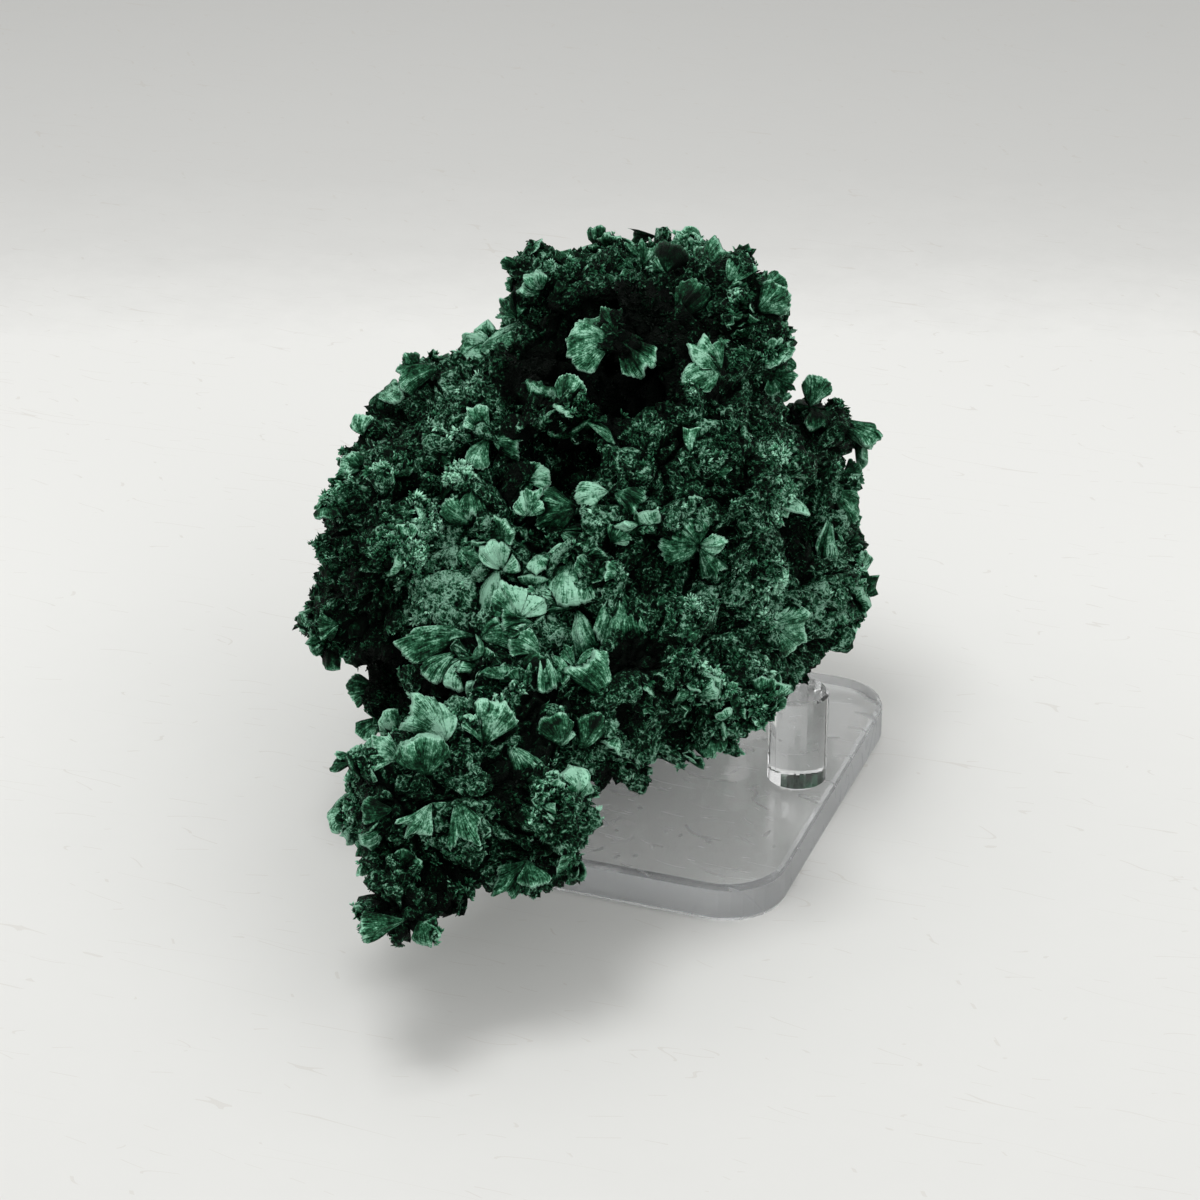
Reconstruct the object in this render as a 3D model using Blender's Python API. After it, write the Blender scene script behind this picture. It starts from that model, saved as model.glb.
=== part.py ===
"""Fibrous malachite specimen standing on a clear acrylic three-peg stand.

Metres, +Z up. The origin is the centre of the base plate's underside, X runs along the plate's
short side and Y along its long side. The malachite grew as one mass, so it is one solid: rounded
lobes with hollows between them, and fans and blocks of needle crystals standing out all over it.
The malachite is laid out in millimetres and scaled to metres at the end.
"""

import math
import random

import bmesh
import bpy
from mathutils import Matrix, Vector, noise
from mathutils.bvhtree import BVHTree

MM = 0.001

# The stand
PLATE_WIDTH = 80 * MM
PLATE_DEPTH = 90 * MM
PLATE_THICKNESS = 8 * MM
PLATE_CORNER_RADIUS = 12 * MM
PLATE_CORNER_STEPS = 8
PLATE_EDGE_ROUND = 1.0 * MM
PLATE_EDGE_STEPS = 2
PEG_DIAMETER = 12 * MM
PEG_HEIGHT = 20 * MM
PEG_CHAMFER = 0.5 * MM
PEG_CHAMFER_FROM = math.radians(60)
PEG_SIDES = 24
SHARP_FROM = math.radians(35)
PEG_INSET_X = 8 * MM
PEG_INSET_Y = 12 * MM
CONTACT_GAP = 0.3 * MM
PEG_TOP = PLATE_THICKNESS + PEG_HEIGHT
PEG_X = PLATE_WIDTH / 2 - PEG_INSET_X
PEG_Y = PLATE_DEPTH / 2 - PEG_INSET_Y
PEGS = {
    "peg_right": (PEG_X, 0.0),
    "peg_left_front": (-PEG_X, -PEG_Y),
    "peg_left_back": (-PEG_X, PEG_Y),
}
ACRYLIC = ((0.86, 0.88, 0.88, 1), 0.05)
MALACHITE = ((0.035, 0.16, 0.085, 1), 0.6)

# The display face, from which the specimen is meant to be seen. Places on it are (across, up) in mm
# on the plane through FACE_CENTRE, lined up from an eye FACE_DISTANCE in front of it; away is the
# depth behind that plane. RIGHT, BACK and UP are the directions across it, into it and up it.
FACE_TURN = math.radians(20)
FACE_PITCH = math.radians(27)
FACE_DISTANCE = 700
FACE_CENTRE = Vector((-7, -8, 45))
RIGHT = Vector((math.cos(FACE_TURN), math.sin(FACE_TURN), 0))
BACK = Vector((-math.sin(FACE_TURN), math.cos(FACE_TURN), 0))
AWAY = BACK * math.cos(FACE_PITCH) - Vector((0, 0, math.sin(FACE_PITCH)))
UP = RIGHT.cross(AWAY)
EYE = FACE_CENTRE - AWAY * FACE_DISTANCE

# Lobes of the mass: (across, up, away) of the centre, then half width, half depth, half height.
LOBES = {
    "core": ((0, 22, 8), (41, 46, 37)),
    "crown": ((8, 50, 14), (28, 33, 19)),
    "crown_right": ((23.5, 50, 8), (10, 24, 17.5)),
    "crown_left": ((-10, 63, 10), (8, 12, 7)),
    "brow": ((-26, 33, 4), (20, 30, 16)),
    "cheek": ((-40.5, 12, -2), (12, 28, 23)),
    "cheek_low": ((-43.5, -1, 0), (10, 19, 10)),
    "wall": ((26, 16, 0), (12, 33, 37)),
    "back_right": ((40, 19, 32), (11, 22, 23)),
    "hip": ((41, 3, 22), (10.5, 15, 13)),
    "dome": ((42.5, 1, 6), (8, 8, 6)),
    "belly": ((10, -9, -20), (20, 28, 17)),
    "belly_low": ((9, -30, -38), (7, 11, 8)),
    "neck": ((-18, -20, -36), (21, 24, 16)),
    "snout": ((-32, -41, -56), (15, 17, 18)),
    "snout_right": ((-14, -44, -50), (11.5, 15, 13)),
    "snout_tip": ((-39, -59, -70), (8, 9, 8)),
    "rear": ((-4, 30, 56), (33, 25, 24)),
    "snout_low": ((-29, -57.5, -66), (8, 9, 6)),
}
# Lobes that come down onto the pegs: (x, y, z) of the centre, then the half sizes.
SEATS = (
    ((23, 3, 42), (13, 14, 16)),
    ((-31, -31, 41), (14, 14, 15)),
    ((-30, 31, 42), (14, 14, 16)),
)
SEAT_CLEARANCE = 1.0
# Hollows between the crystals, and the rounded masses that stand in them, given as the lobes are.
HOLLOWS = {
    "crown_hollow": ((2, 48, -14), (18, 17, 11)),
    "crown_hollow_left": ((-13, 49, -12), (8, 12, 7)),
    "slot": ((-31, -5, -26), (7, 9, 1.6)),
    "cleft": ((-28, -19.5, -46), (15, 14, 3.2)),
    "cleft_left": ((-43, -17, -20), (7, 10, 7)),
    "cleft_right": ((-13, -24, -52), (2.5, 12, 8)),
    "undercut": ((5, -17, -38), (5, 10, 7)),
    "snout_gap": ((-18, -37, -62), (3.5, 9, 5)),
    "valley": ((-8, 28, -28), (9, 10, 4)),
    "wall_gap": ((39, 11, 3), (2.8, 8, 7)),
    "chin_gap": ((1, -38, -44), (3, 8, 5)),
}
ISLANDS = {
    "hollow_boss": ((12, 45, -8), (9, 8, 7)),
    "hollow_stalk": ((5, 51, -14), (3.5, 12, 3.5)),
}

LOBE_DETAIL = 4
SKIN_CELL = 2.2
HOLLOW_CELL = 1.5
SWELL_NOISE = (1.0, 2.0, 2)
SWELL_SIZE = 26
SWELL_HEIGHT = 4.5
LUMP_SIZE = 14
LUMP_HEIGHT = 6.0
LUMP_LEVEL = 0.55
MASS_FACES = 2000

# Crystal fans on the display face: across and up of the node that the needles grow from; roll, the
# way the rim points (0 right, 90 up); stand, how far it tips up off the surface; radius; half the
# spread; thickness at the rim; sink, how far behind the surface its node lies.
FANS = (
    # crown and its hollow
    (3, 51.5, 175, 30, 8.5, 62, 3.0, 1),
    (3, 51.5, -50, 30, 10.0, 30, 2.6, 1),
    (3, 52.0, 112, 30, 7.0, 30, 2.6, 1),
    (-0.5, 67, -85, 35, 8.0, 30, 3.0, 0),
    (-0.5, 67, 190, 30, 7.0, 38, 3.5, 0),
    (0, 66, 65, 35, 7.5, 45, 4.0, 0),
    (-12, 61, 112, 55, 5.5, 50, 5.0, 0),
    (8, 66, 85, 40, 7.0, 40, 4.5, 0),
    (13, 65, 80, 40, 6.5, 40, 4.0, 0),
    (19.5, 64, 88, 30, 9.5, 30, 4.5, 0),
    (25.5, 62, 62, 35, 7.0, 32, 5.0, 0),
    (15, 55, 60, 30, 8.0, 34, 2.6, 0),
    (24.5, 45.5, 140, 30, 9.0, 48, 3.5, 0),
    (24.5, 45.5, 212, 30, 8.5, 36, 3.5, 0),
    (31, 57, 30, 35, 7.0, 45, 4.5, 0),
    (31, 50, 8, 30, 6.5, 45, 4.0, 0),
    (34, 44, -10, 35, 6.0, 45, 4.0, 0),
    (8.5, 38, -50, 35, 6.5, 36, 3.5, 0),
    (-7, 39, 75, 30, 5.5, 45, 2.5, 0),
    # brow and the left outline
    (-43, 42, -35, 20, 9.5, 26, 3.0, 0),
    (-28.5, 49, -20, 20, 8.5, 40, 3.5, 0),
    (-32, 46, 200, 25, 7.5, 38, 3.5, 0),
    (-36, 45, 125, 45, 5.0, 40, 4.0, 0),
    (-24, 54, 130, 35, 6.5, 42, 4.0, 0),
    (-18, 58, 140, 35, 6.5, 42, 4.0, 0),
    (-34.5, 31.5, -60, 25, 8.0, 48, 3.0, 0),
    (-22.5, 32.5, 120, 30, 6.5, 34, 2.6, 0),
    (-22.5, 32.5, -20, 30, 7.0, 34, 2.6, 0),
    (-22.5, 32.5, -110, 30, 6.5, 34, 2.6, 0),
    (-25, 22.5, -88, 35, 6.0, 40, 4.5, 0),
    (-47, 33, 110, 45, 4.5, 42, 3.5, 0),
    (-48, 26, 170, 50, 4.5, 55, 5.0, 0),
    (-52, -5, 200, 45, 4.5, 55, 5.0, 0),
    (-45, -18, 180, 35, 6.0, 40, 3.5, 0),
    # tangle of the middle
    (-31, 19, 60, 45, 5.0, 45, 2.4, 0),
    (-26, 15, 150, 45, 5.5, 40, 2.4, 0),
    (-20, 13, 30, 45, 5.5, 45, 2.4, 0),
    (-28, 10, -20, 45, 5.0, 45, 2.4, 0),
    (-20, 6, 100, 45, 5.5, 45, 2.4, 0),
    (-14, 17, 80, 45, 5.0, 45, 2.4, 0),
    (-13, 9, -70, 45, 5.0, 45, 2.4, 0),
    (-15, 24, 20, 45, 5.0, 45, 2.4, 0),
    (-4.5, 18.5, 190, 25, 8.5, 55, 6.5, 0),
    (1.5, 22, 195, 30, 6.5, 42, 3.5, 0),
    (2.5, 21.5, -30, 25, 7.5, 45, 3.5, 0),
    (-7.5, 13.5, -38, 30, 8.5, 30, 3.0, 0),
    (-5.5, 8, -95, 30, 8.5, 52, 4.0, 0),
    (-5, 7.5, -12, 30, 8.0, 30, 3.0, 0),
    (2.5, 11, 60, 40, 5.0, 40, 2.6, 0),
    (3.5, 2.5, -88, 25, 11.0, 36, 4.5, 0),
    (19.5, 10, 180, 30, 7.0, 34, 3.0, 0),
    (19.5, 10, 110, 30, 7.0, 34, 3.0, 0),
    (19.5, 10, 20, 30, 6.0, 34, 3.0, 0),
    (19.5, 10, -60, 30, 7.0, 34, 3.0, 0),
    (20, -5, 200, 30, 5.5, 40, 3.0, 0),
    # above the cleft
    (-16, -3, 115, 40, 7.0, 40, 3.0, 0),
    (-13, -4, 205, 35, 8.5, 26, 3.0, 0),
    (-5, -1, -72, 25, 9.5, 24, 3.5, 0),
    (-11, -10.5, -85, 30, 8.5, 44, 4.0, 0),
    (-5, -13, 32, 40, 6.0, 30, 2.6, 0),
    (-12, -10, 160, 35, 7.0, 38, 3.0, 0),
    (-24.5, -6.5, 186, 25, 13.5, 19, 4.5, 0),
    (-24, -7, -12, 30, 8.0, 30, 4.0, 0),
    (-28, -10, 222, 30, 8.0, 28, 3.5, 0),
    (-26.5, -11, -82, 30, 8.0, 30, 3.5, 0),
    (3, -22, 128, 25, 11.5, 28, 5.0, 0),
    (-7.5, -29, 110, 35, 6.5, 45, 5.0, 0),
    (-3.5, -29.5, 65, 35, 7.0, 35, 4.0, 0),
    # snout
    (-29.5, -27, 140, 30, 10.5, 38, 4.5, 0),
    (-22.5, -28, 60, 30, 9.0, 38, 4.5, 0),
    (-18.5, -27, -62, 30, 9.5, 28, 4.0, 0),
    (-34.5, -34, 95, 50, 7.5, 58, 5.0, 0),
    (-40, -31, 160, 30, 6.0, 48, 4.0, 0),
    (-41, -42, 178, 30, 5.0, 42, 4.0, 0),
    (-33, -40, 238, 25, 9.0, 30, 4.0, 0),
    (-29, -39.5, -65, 25, 10.0, 30, 4.0, 0),
    (-38, -63, 190, 25, 8.5, 24, 3.5, 0),
    (-35, -63, -80, 40, 5.0, 40, 4.5, 0),
    (-14, -51, 222, 25, 8.5, 30, 4.0, 0),
    (-14, -51, -80, 35, 6.5, 36, 4.0, 0),
    (-4, -39.5, 70, 30, 7.0, 55, 4.5, 0),
    # right side
    (42, 39, 75, 35, 6.5, 42, 4.0, 0),
    (42, 39, -88, 20, 9.5, 30, 4.0, 0),
    (46, 36, -38, 25, 12.0, 27, 4.0, 0),
    (48, 24, 25, 35, 5.5, 40, 3.0, 0),
    (45.5, 22, -35, 25, 9.0, 30, 4.0, 0),
    (45, 16.5, -95, 25, 9.5, 28, 4.0, 0),
    (50, 11, 15, 35, 5.5, 42, 4.0, 0),
    (34, -5, -8, 25, 8.5, 58, 5.5, 0),
    (21.5, -25, -80, 35, 5.5, 45, 4.5, 0),
)
# Block-like crystals: across and up of the centre, width, height, depth, roll.
BLOCKS = (
    (-30, 0.5, 13, 10, 9, 4),
    (46, -7.5, 8, 5, 7, -8),
)
BLOCK_BEVEL = 0.9
# Fans over the sides, back and underside, spread evenly by direction from the mass's middle.
SCATTER_CENTRE = Vector((-8, -12, 58))
SCATTER_TRIES = 225
SCATTER_SEED = 11
SCATTER_BEHIND = 4.0
SCATTER_REACH = 200
SCATTER_STAND = (15, 50)
SCATTER_RADIUS = (7, 12)
SCATTER_SPREAD = (28, 58)
SCATTER_THICKNESS = (3, 5.5)
UNDERSIDE_CLEAR = 4.0
NODE_DEPTH = 1.0
FACE_LEAN = 0.5
OUTLINE_STEPS = 12
OUTLINE_STEP = 0.02
FAN_COLUMNS = 4
RIM_OVERHANG = 0.92
RIM_TAPER = 0.18


def face_point(across, up, away):
    """The point that lies at (across, up) on the display face, at that depth."""
    return EYE + (AWAY * FACE_DISTANCE + RIGHT * across + UP * up) * (1 + away / FACE_DISTANCE)


def ellipsoid(centre, halves):
    """The matrix that turns a unit sphere into a lobe, its width along RIGHT and depth along BACK."""
    turned = Matrix((RIGHT, BACK, Vector((0, 0, 1)))).transposed().to_4x4()
    return Matrix.Translation(centre) @ turned @ Matrix.Diagonal((*halves, 1))


def face_ellipsoids(table):
    return [ellipsoid(face_point(*place), halves) for place, halves in table.values()]


def face_surface(across, up, skin):
    """The nearest surface seen at (across, up), or just inside the outline where that misses."""
    for inward in range(OUTLINE_STEPS):
        scale = 1 - inward * OUTLINE_STEP
        direction = (AWAY * FACE_DISTANCE + RIGHT * across * scale + UP * up * scale).normalized()
        point, normal, _, _ = skin.ray_cast(EYE, direction)
        if point:
            return point, (normal - AWAY * FACE_LEAN).normalized()
    raise ValueError(f"nothing lies under ({across}, {up})")


def fan_matrix(point, normal, along, stand):
    """A fan's own axes at a point: X across it, Y from its node to its rim, Z out of its face."""
    tangent = (along - normal * along.dot(normal)).normalized()
    tip = math.radians(stand)
    axis = tangent * math.cos(tip) + normal * math.sin(tip)
    out = normal * math.cos(tip) - tangent * math.sin(tip)
    turned = Matrix((axis.cross(out), axis, out)).transposed().to_4x4()
    return Matrix.Translation(point) @ turned


def add_fan(mesh, matrix, radius, spread, thickness):
    """A wedge of needles: one point at its node, a rounded rim, and flat facets between them."""
    half = math.radians(spread)
    apex = mesh.verts.new(matrix @ Vector((0, 0, 0)))
    rings = []
    for reach, height in ((1, 0.5), (RIM_OVERHANG, -0.5)):
        ring = []
        for i in range(FAN_COLUMNS + 1):
            angle = half * (2 * i / FAN_COLUMNS - 1)
            edge = radius * reach * (1 - RIM_TAPER * abs(angle / half) ** 3)
            place = (edge * math.sin(angle), edge * math.cos(angle), thickness * height)
            ring.append(mesh.verts.new(matrix @ Vector(place)))
        rings.append(ring)
    top, bottom = rings
    for i in range(FAN_COLUMNS):
        mesh.faces.new((apex, top[i + 1], top[i]))
        mesh.faces.new((apex, bottom[i], bottom[i + 1]))
        mesh.faces.new((top[i], top[i + 1], bottom[i + 1], bottom[i]))
    mesh.faces.new((apex, top[0], bottom[0]))
    mesh.faces.new((apex, bottom[-1], top[-1]))


def face_fans(skin):
    """The display face's fans, each set on the surface it lines up with."""
    for across, up, roll, stand, radius, spread, thickness, sink in FANS:
        point, normal = face_surface(across, up, skin)
        turn = math.radians(roll)
        along = RIGHT * math.cos(turn) + UP * math.sin(turn)
        matrix = fan_matrix(point + AWAY * sink - normal * NODE_DEPTH, normal, along, stand)
        yield matrix, radius, spread, thickness


def on_display(rim, skin):
    """Whether a fan with its rim there would show on the display face, or beyond its outline."""
    sight = rim - EYE
    _, _, _, distance = skin.ray_cast(EYE, sight.normalized())
    return distance is None or distance + SCATTER_BEHIND > sight.length


def scattered_fans(skin):
    """Fans over the sides that the display face doesn't show, by a golden-angle spiral of directions."""
    rng = random.Random(SCATTER_SEED)
    for i in range(SCATTER_TRIES):
        z = 1 - 2 * (i + 0.5) / SCATTER_TRIES
        turn = i * math.pi * (3 - math.sqrt(5))
        flat = math.sqrt(1 - z * z)
        direction = Vector((flat * math.cos(turn), flat * math.sin(turn), z))
        point, normal, _, _ = skin.ray_cast(SCATTER_CENTRE + direction * SCATTER_REACH, -direction)
        roll, stand = rng.uniform(0, 2 * math.pi), rng.uniform(*SCATTER_STAND)
        radius, spread = rng.uniform(*SCATTER_RADIUS), rng.uniform(*SCATTER_SPREAD)
        thickness = rng.uniform(*SCATTER_THICKNESS)
        side = normal.orthogonal().normalized()
        along = side * math.cos(roll) + normal.cross(side) * math.sin(roll)
        matrix = fan_matrix(point - normal * NODE_DEPTH, normal, along, stand)
        rim = matrix @ Vector((0, radius, 0))
        if min(point.z, rim.z) < PEG_TOP / MM + UNDERSIDE_CLEAR or on_display(rim, skin):
            continue
        yield matrix, radius, spread, thickness


def add_block(mesh, skin, across, up, width, height, depth, roll):
    """A block of packed needles with flat sides, half sunk in the surface."""
    point, _ = face_surface(across, up, skin)
    turned = Matrix((RIGHT, UP, -AWAY)).transposed().to_4x4()
    place = Matrix.Translation(point) @ turned @ Matrix.Rotation(math.radians(roll), 4, "Z")
    made = bmesh.ops.create_cube(mesh, matrix=place @ Matrix.Diagonal((width, height, depth, 1)))
    edges = {edge for vert in made["verts"] for edge in vert.link_edges}
    bmesh.ops.bevel(mesh, geom=list(edges), offset=BLOCK_BEVEL, segments=1, affect="EDGES")


def new_object(name, mesh_data, material=None):
    """An object of that name, from a bmesh or a mesh."""
    if isinstance(mesh_data, bmesh.types.BMesh):
        bmesh.ops.recalc_face_normals(mesh_data, faces=mesh_data.faces)
        data = bpy.data.meshes.new(name)
        mesh_data.to_mesh(data)
        mesh_data.free()
    else:
        data = mesh_data
    made = bpy.data.objects.new(name, data)
    bpy.context.scene.collection.objects.link(made)
    if material:
        data.materials.clear()
        data.materials.append(material)
    return made


def evaluated(shape):
    """A mesh of the object with its modifiers applied. The object itself is removed."""
    bpy.context.view_layer.update()
    depsgraph = bpy.context.evaluated_depsgraph_get()
    data = bpy.data.meshes.new_from_object(shape.evaluated_get(depsgraph))
    bpy.data.objects.remove(shape, do_unlink=True)
    return data


def boolean(shape, other, operation):
    modifier = shape.modifiers.new(operation.lower(), "BOOLEAN")
    modifier.object = other
    modifier.operation = operation
    modifier.solver = "EXACT"
    modifier.use_self = operation == "UNION"
    return modifier


def remesh(shape, cell):
    modifier = shape.modifiers.new("remesh", "REMESH")
    modifier.mode = "VOXEL"
    modifier.voxel_size = cell


def keep_outer_skin(data):
    """Deletes the loose shells that crystals crossing over a hollow can close off."""
    mesh = bmesh.new()
    mesh.from_mesh(data)
    unseen = set(mesh.faces)
    shells = []
    while unseen:
        shell = [unseen.pop()]
        for face in shell:
            for edge in face.edges:
                for other in edge.link_faces:
                    if other in unseen:
                        unseen.remove(other)
                        shell.append(other)
        shells.append(shell)
    outer = max(shells, key=len)
    loose = [face for shell in shells if shell is not outer for face in shell]
    bmesh.ops.delete(mesh, geom=loose, context="FACES")
    mesh.to_mesh(data)
    mesh.free()


def spheres(matrices):
    mesh = bmesh.new()
    for matrix in matrices:
        bmesh.ops.create_icosphere(mesh, subdivisions=LOBE_DETAIL, radius=1, matrix=matrix)
    return mesh


def fused(matrices, cell):
    """One closed skin round overlapping ellipsoids."""
    shape = new_object("fused", spheres(matrices))
    remesh(shape, cell)
    return evaluated(shape)


def roughen(mesh):
    """Moves each point along its normal: broad swells, and rounded lumps with creases between them."""
    normals = [vert.normal.copy() for vert in mesh.vertices]
    for vert, normal in zip(mesh.vertices, normals):
        place = vert.co.copy()
        swell = noise.fractal(place / SWELL_SIZE, *SWELL_NOISE)
        lump = LUMP_LEVEL - noise.voronoi(place / LUMP_SIZE)[0][0]
        vert.co = place + normal * (SWELL_HEIGHT * swell + LUMP_HEIGHT * lump)
    mesh.update()


def rough_skin():
    """The lobes as one lumpy skin, with the hollows cut into it."""
    seats = [ellipsoid(Vector(centre), halves) for centre, halves in SEATS]
    shape = new_object("skin", fused(face_ellipsoids(LOBES) + seats, SKIN_CELL))
    cut = new_object("cut", fused(face_ellipsoids(HOLLOWS), HOLLOW_CELL))
    boolean(shape, cut, "DIFFERENCE")
    islands = new_object("islands", fused(face_ellipsoids(ISLANDS), HOLLOW_CELL))
    boolean(shape, islands, "UNION")
    remesh(shape, SKIN_CELL)
    smooth = evaluated(shape)
    for used in (cut, islands):
        bpy.data.objects.remove(used, do_unlink=True)
    roughen(smooth)
    shape = new_object("skin", smooth)
    remesh(shape, SKIN_CELL)
    return evaluated(shape)


def thinned(data):
    """The same skin with its faces thinned out to flat facets."""
    shape = new_object("mass", data)
    thin = shape.modifiers.new("thin", "DECIMATE")
    triangles = sum(len(face.vertices) - 2 for face in data.polygons)
    thin.ratio = MASS_FACES / triangles
    thin.use_collapse_triangulate = True
    return evaluated(shape)


def search_tree(data):
    base = bmesh.new()
    base.from_mesh(data)
    tree = BVHTree.FromBMesh(base)
    base.free()
    return tree


def crystals(skin):
    """Every fan and block, as one mesh of closed shapes set on the skin."""
    mesh = bmesh.new()
    for fan in [*face_fans(skin), *scattered_fans(skin)]:
        add_fan(mesh, *fan)
    for block in BLOCKS:
        add_block(mesh, skin, *block)
    return mesh


def seat_cutters():
    """What is cleared above each peg, so that the mass rests on the peg's top."""
    mesh = bmesh.new()
    radius = PEG_DIAMETER / 2 / MM + SEAT_CLEARANCE
    top = (PEG_TOP + CONTACT_GAP) / MM
    for x, y in PEGS.values():
        place = Matrix.Translation((x / MM, y / MM, 0))
        bmesh.ops.create_cone(
            mesh,
            cap_ends=True,
            segments=PEG_SIDES,
            radius1=radius,
            radius2=radius,
            depth=2 * top,
            matrix=place,
        )
    return mesh


def make_malachite():
    skin = rough_skin()
    grown = new_object("crystals", crystals(search_tree(skin)))
    shape = new_object("malachite", thinned(skin))
    boolean(shape, grown, "UNION")
    seats = new_object("seats", seat_cutters())
    boolean(shape, seats, "DIFFERENCE").use_self = False
    data = evaluated(shape)
    for used in (grown, seats):
        bpy.data.objects.remove(used, do_unlink=True)
    keep_outer_skin(data)
    data.transform(Matrix.Scale(MM, 4))
    new_object("malachite", data, principled("malachite", *MALACHITE))


def principled(name, colour, roughness):
    material = bpy.data.materials.new(name)
    material.use_nodes = True
    shader = material.node_tree.nodes["Principled BSDF"]
    shader.inputs["Base Color"].default_value = colour
    shader.inputs["Roughness"].default_value = roughness
    shader.inputs["Metallic"].default_value = 0
    return material


def make_plate(material):
    """A rectangle with round corners, extruded, its long edges lightly rounded."""
    mesh = bmesh.new()
    corners = ((1, 1, 0), (-1, 1, 90), (-1, -1, 180), (1, -1, 270))
    outline = []
    for side_x, side_y, start in corners:
        centre_x = side_x * (PLATE_WIDTH / 2 - PLATE_CORNER_RADIUS)
        centre_y = side_y * (PLATE_DEPTH / 2 - PLATE_CORNER_RADIUS)
        for i in range(PLATE_CORNER_STEPS + 1):
            angle = math.radians(start + 90 * i / PLATE_CORNER_STEPS)
            x = centre_x + PLATE_CORNER_RADIUS * math.cos(angle)
            y = centre_y + PLATE_CORNER_RADIUS * math.sin(angle)
            outline.append(mesh.verts.new((x, y, 0)))
    face = mesh.faces.new(outline)
    raised = bmesh.ops.extrude_face_region(mesh, geom=[face])
    lifted = [item for item in raised["geom"] if isinstance(item, bmesh.types.BMVert)]
    bmesh.ops.translate(mesh, verts=lifted, vec=(0, 0, PLATE_THICKNESS))
    plate = new_object("base_plate", mesh, material)
    bevel = plate.modifiers.new("edge", "BEVEL")
    bevel.width = PLATE_EDGE_ROUND
    bevel.segments = PLATE_EDGE_STEPS
    bevel.limit_method = "ANGLE"
    plate.data.shade_smooth()
    plate.data.set_sharp_from_angle(angle=SHARP_FROM)


def make_peg(name, x, y, material):
    """An upright acrylic rod cemented to the plate."""
    mesh = bmesh.new()
    height = PEG_HEIGHT - CONTACT_GAP
    radius = PEG_DIAMETER / 2
    place = Matrix.Translation((0, 0, height / 2))
    bmesh.ops.create_cone(
        mesh, cap_ends=True, segments=PEG_SIDES, radius1=radius, radius2=radius, depth=height, matrix=place
    )
    peg = new_object(name, mesh, material)
    peg.location = (x, y, PLATE_THICKNESS + CONTACT_GAP)
    bevel = peg.modifiers.new("edge", "BEVEL")
    bevel.width = PEG_CHAMFER
    bevel.segments = 1
    bevel.limit_method = "ANGLE"
    bevel.angle_limit = PEG_CHAMFER_FROM
    peg.data.shade_smooth()
    peg.data.set_sharp_from_angle(angle=SHARP_FROM)


def main():
    for old in list(bpy.data.objects):
        bpy.data.objects.remove(old, do_unlink=True)
    acrylic = principled("clear_acrylic", *ACRYLIC)
    make_plate(acrylic)
    for name, (x, y) in PEGS.items():
        make_peg(name, x, y, acrylic)
    make_malachite()


main()
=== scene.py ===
"""The looks of the fibrous malachite specimen on its clear acrylic stand.

The malachite is drawn by five kinds of mesh, all standing for the one CAD solid: the lumpy mass,
block-like crystals, large fans of needle crystals, small fans, and a moss of needle tufts.
The shapes are laid out in millimetres, from the same named values as the CAD, and scaled to metres.
"""

import math
import random

import bmesh
import bpy
import numpy as np
from mathutils import Matrix, Vector, noise
from mathutils.bvhtree import BVHTree


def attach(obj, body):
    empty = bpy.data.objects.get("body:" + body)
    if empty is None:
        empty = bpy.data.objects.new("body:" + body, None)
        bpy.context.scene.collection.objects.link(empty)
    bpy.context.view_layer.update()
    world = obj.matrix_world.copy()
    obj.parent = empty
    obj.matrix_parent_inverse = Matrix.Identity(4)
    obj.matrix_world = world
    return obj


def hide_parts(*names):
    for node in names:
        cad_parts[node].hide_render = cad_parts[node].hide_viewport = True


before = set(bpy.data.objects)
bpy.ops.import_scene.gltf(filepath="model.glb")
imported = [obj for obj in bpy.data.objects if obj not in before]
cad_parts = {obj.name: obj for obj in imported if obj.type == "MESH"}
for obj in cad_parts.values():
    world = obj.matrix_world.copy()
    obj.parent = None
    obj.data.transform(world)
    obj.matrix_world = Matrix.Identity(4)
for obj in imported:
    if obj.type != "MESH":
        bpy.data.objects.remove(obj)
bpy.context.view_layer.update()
# Blender's vector noise starts from the clock until it is seeded
noise.seed_set(5)

MM = 0.001
PEG_TOP = 28 * MM

# Camera and light
LENS = 106.5
SENSOR = 36
CLIP_START = 10 * MM
WORLD_COLOUR = (1, 1, 0.99, 1)
WORLD_STRENGTH = 0.73
# Lights: how far right, back and up from the stand, in metres, then size and power
LIGHTS = (("softbox", (-0.22, -0.08, 0.95), 0.36, 3.5), ("fill", (0.42, -0.68, 0.5), 0.6, 2.1))
LIGHTS_AIM = Vector((0, 0, 50 * MM))
FLOOR_GAP = 0.0003
# Painted light falloff on the table: its grey at distances behind the middle of the stand, in
# metres, darker in front and far behind
FLOOR_LIGHT_FALLOFF = (
    (-0.2, 0.66), (-0.04, 0.73), (0.09, 0.79), (0.235, 0.79), (0.268, 0.72), (0.3, 0.65),
    (0.36, 0.59), (0.54, 0.54),
)
FLOOR_TINT = (1.0, 1.0, 0.975)
# Noise in its tone: scale, detail, roughness, gain
FLOOR_MOTTLE = (60, 5.0, 0.7, 0.06)
FLOOR_SIZE = 3
FLOOR_ROUGHNESS = 0.5
FLOOR_SPECULAR = 0.25

# Acrylic: clear faces, and frosted edges where the upward part of the normal is under a slope
ACRYLIC_IOR = 1.49
PLATE_CLEARNESS = 0.9
CLEAR = (0.985, 0.992, 0.995)
SAWN = (0.96, 0.98, 1.0)
SAWN_ROUGHNESS = 0.4
BEVEL_SLOPE = 0.97
SAWN_SLOPE = 0.3
WEAR_NOISE = (70, 3.0, 0.6)
WEAR = 0.1
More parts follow.
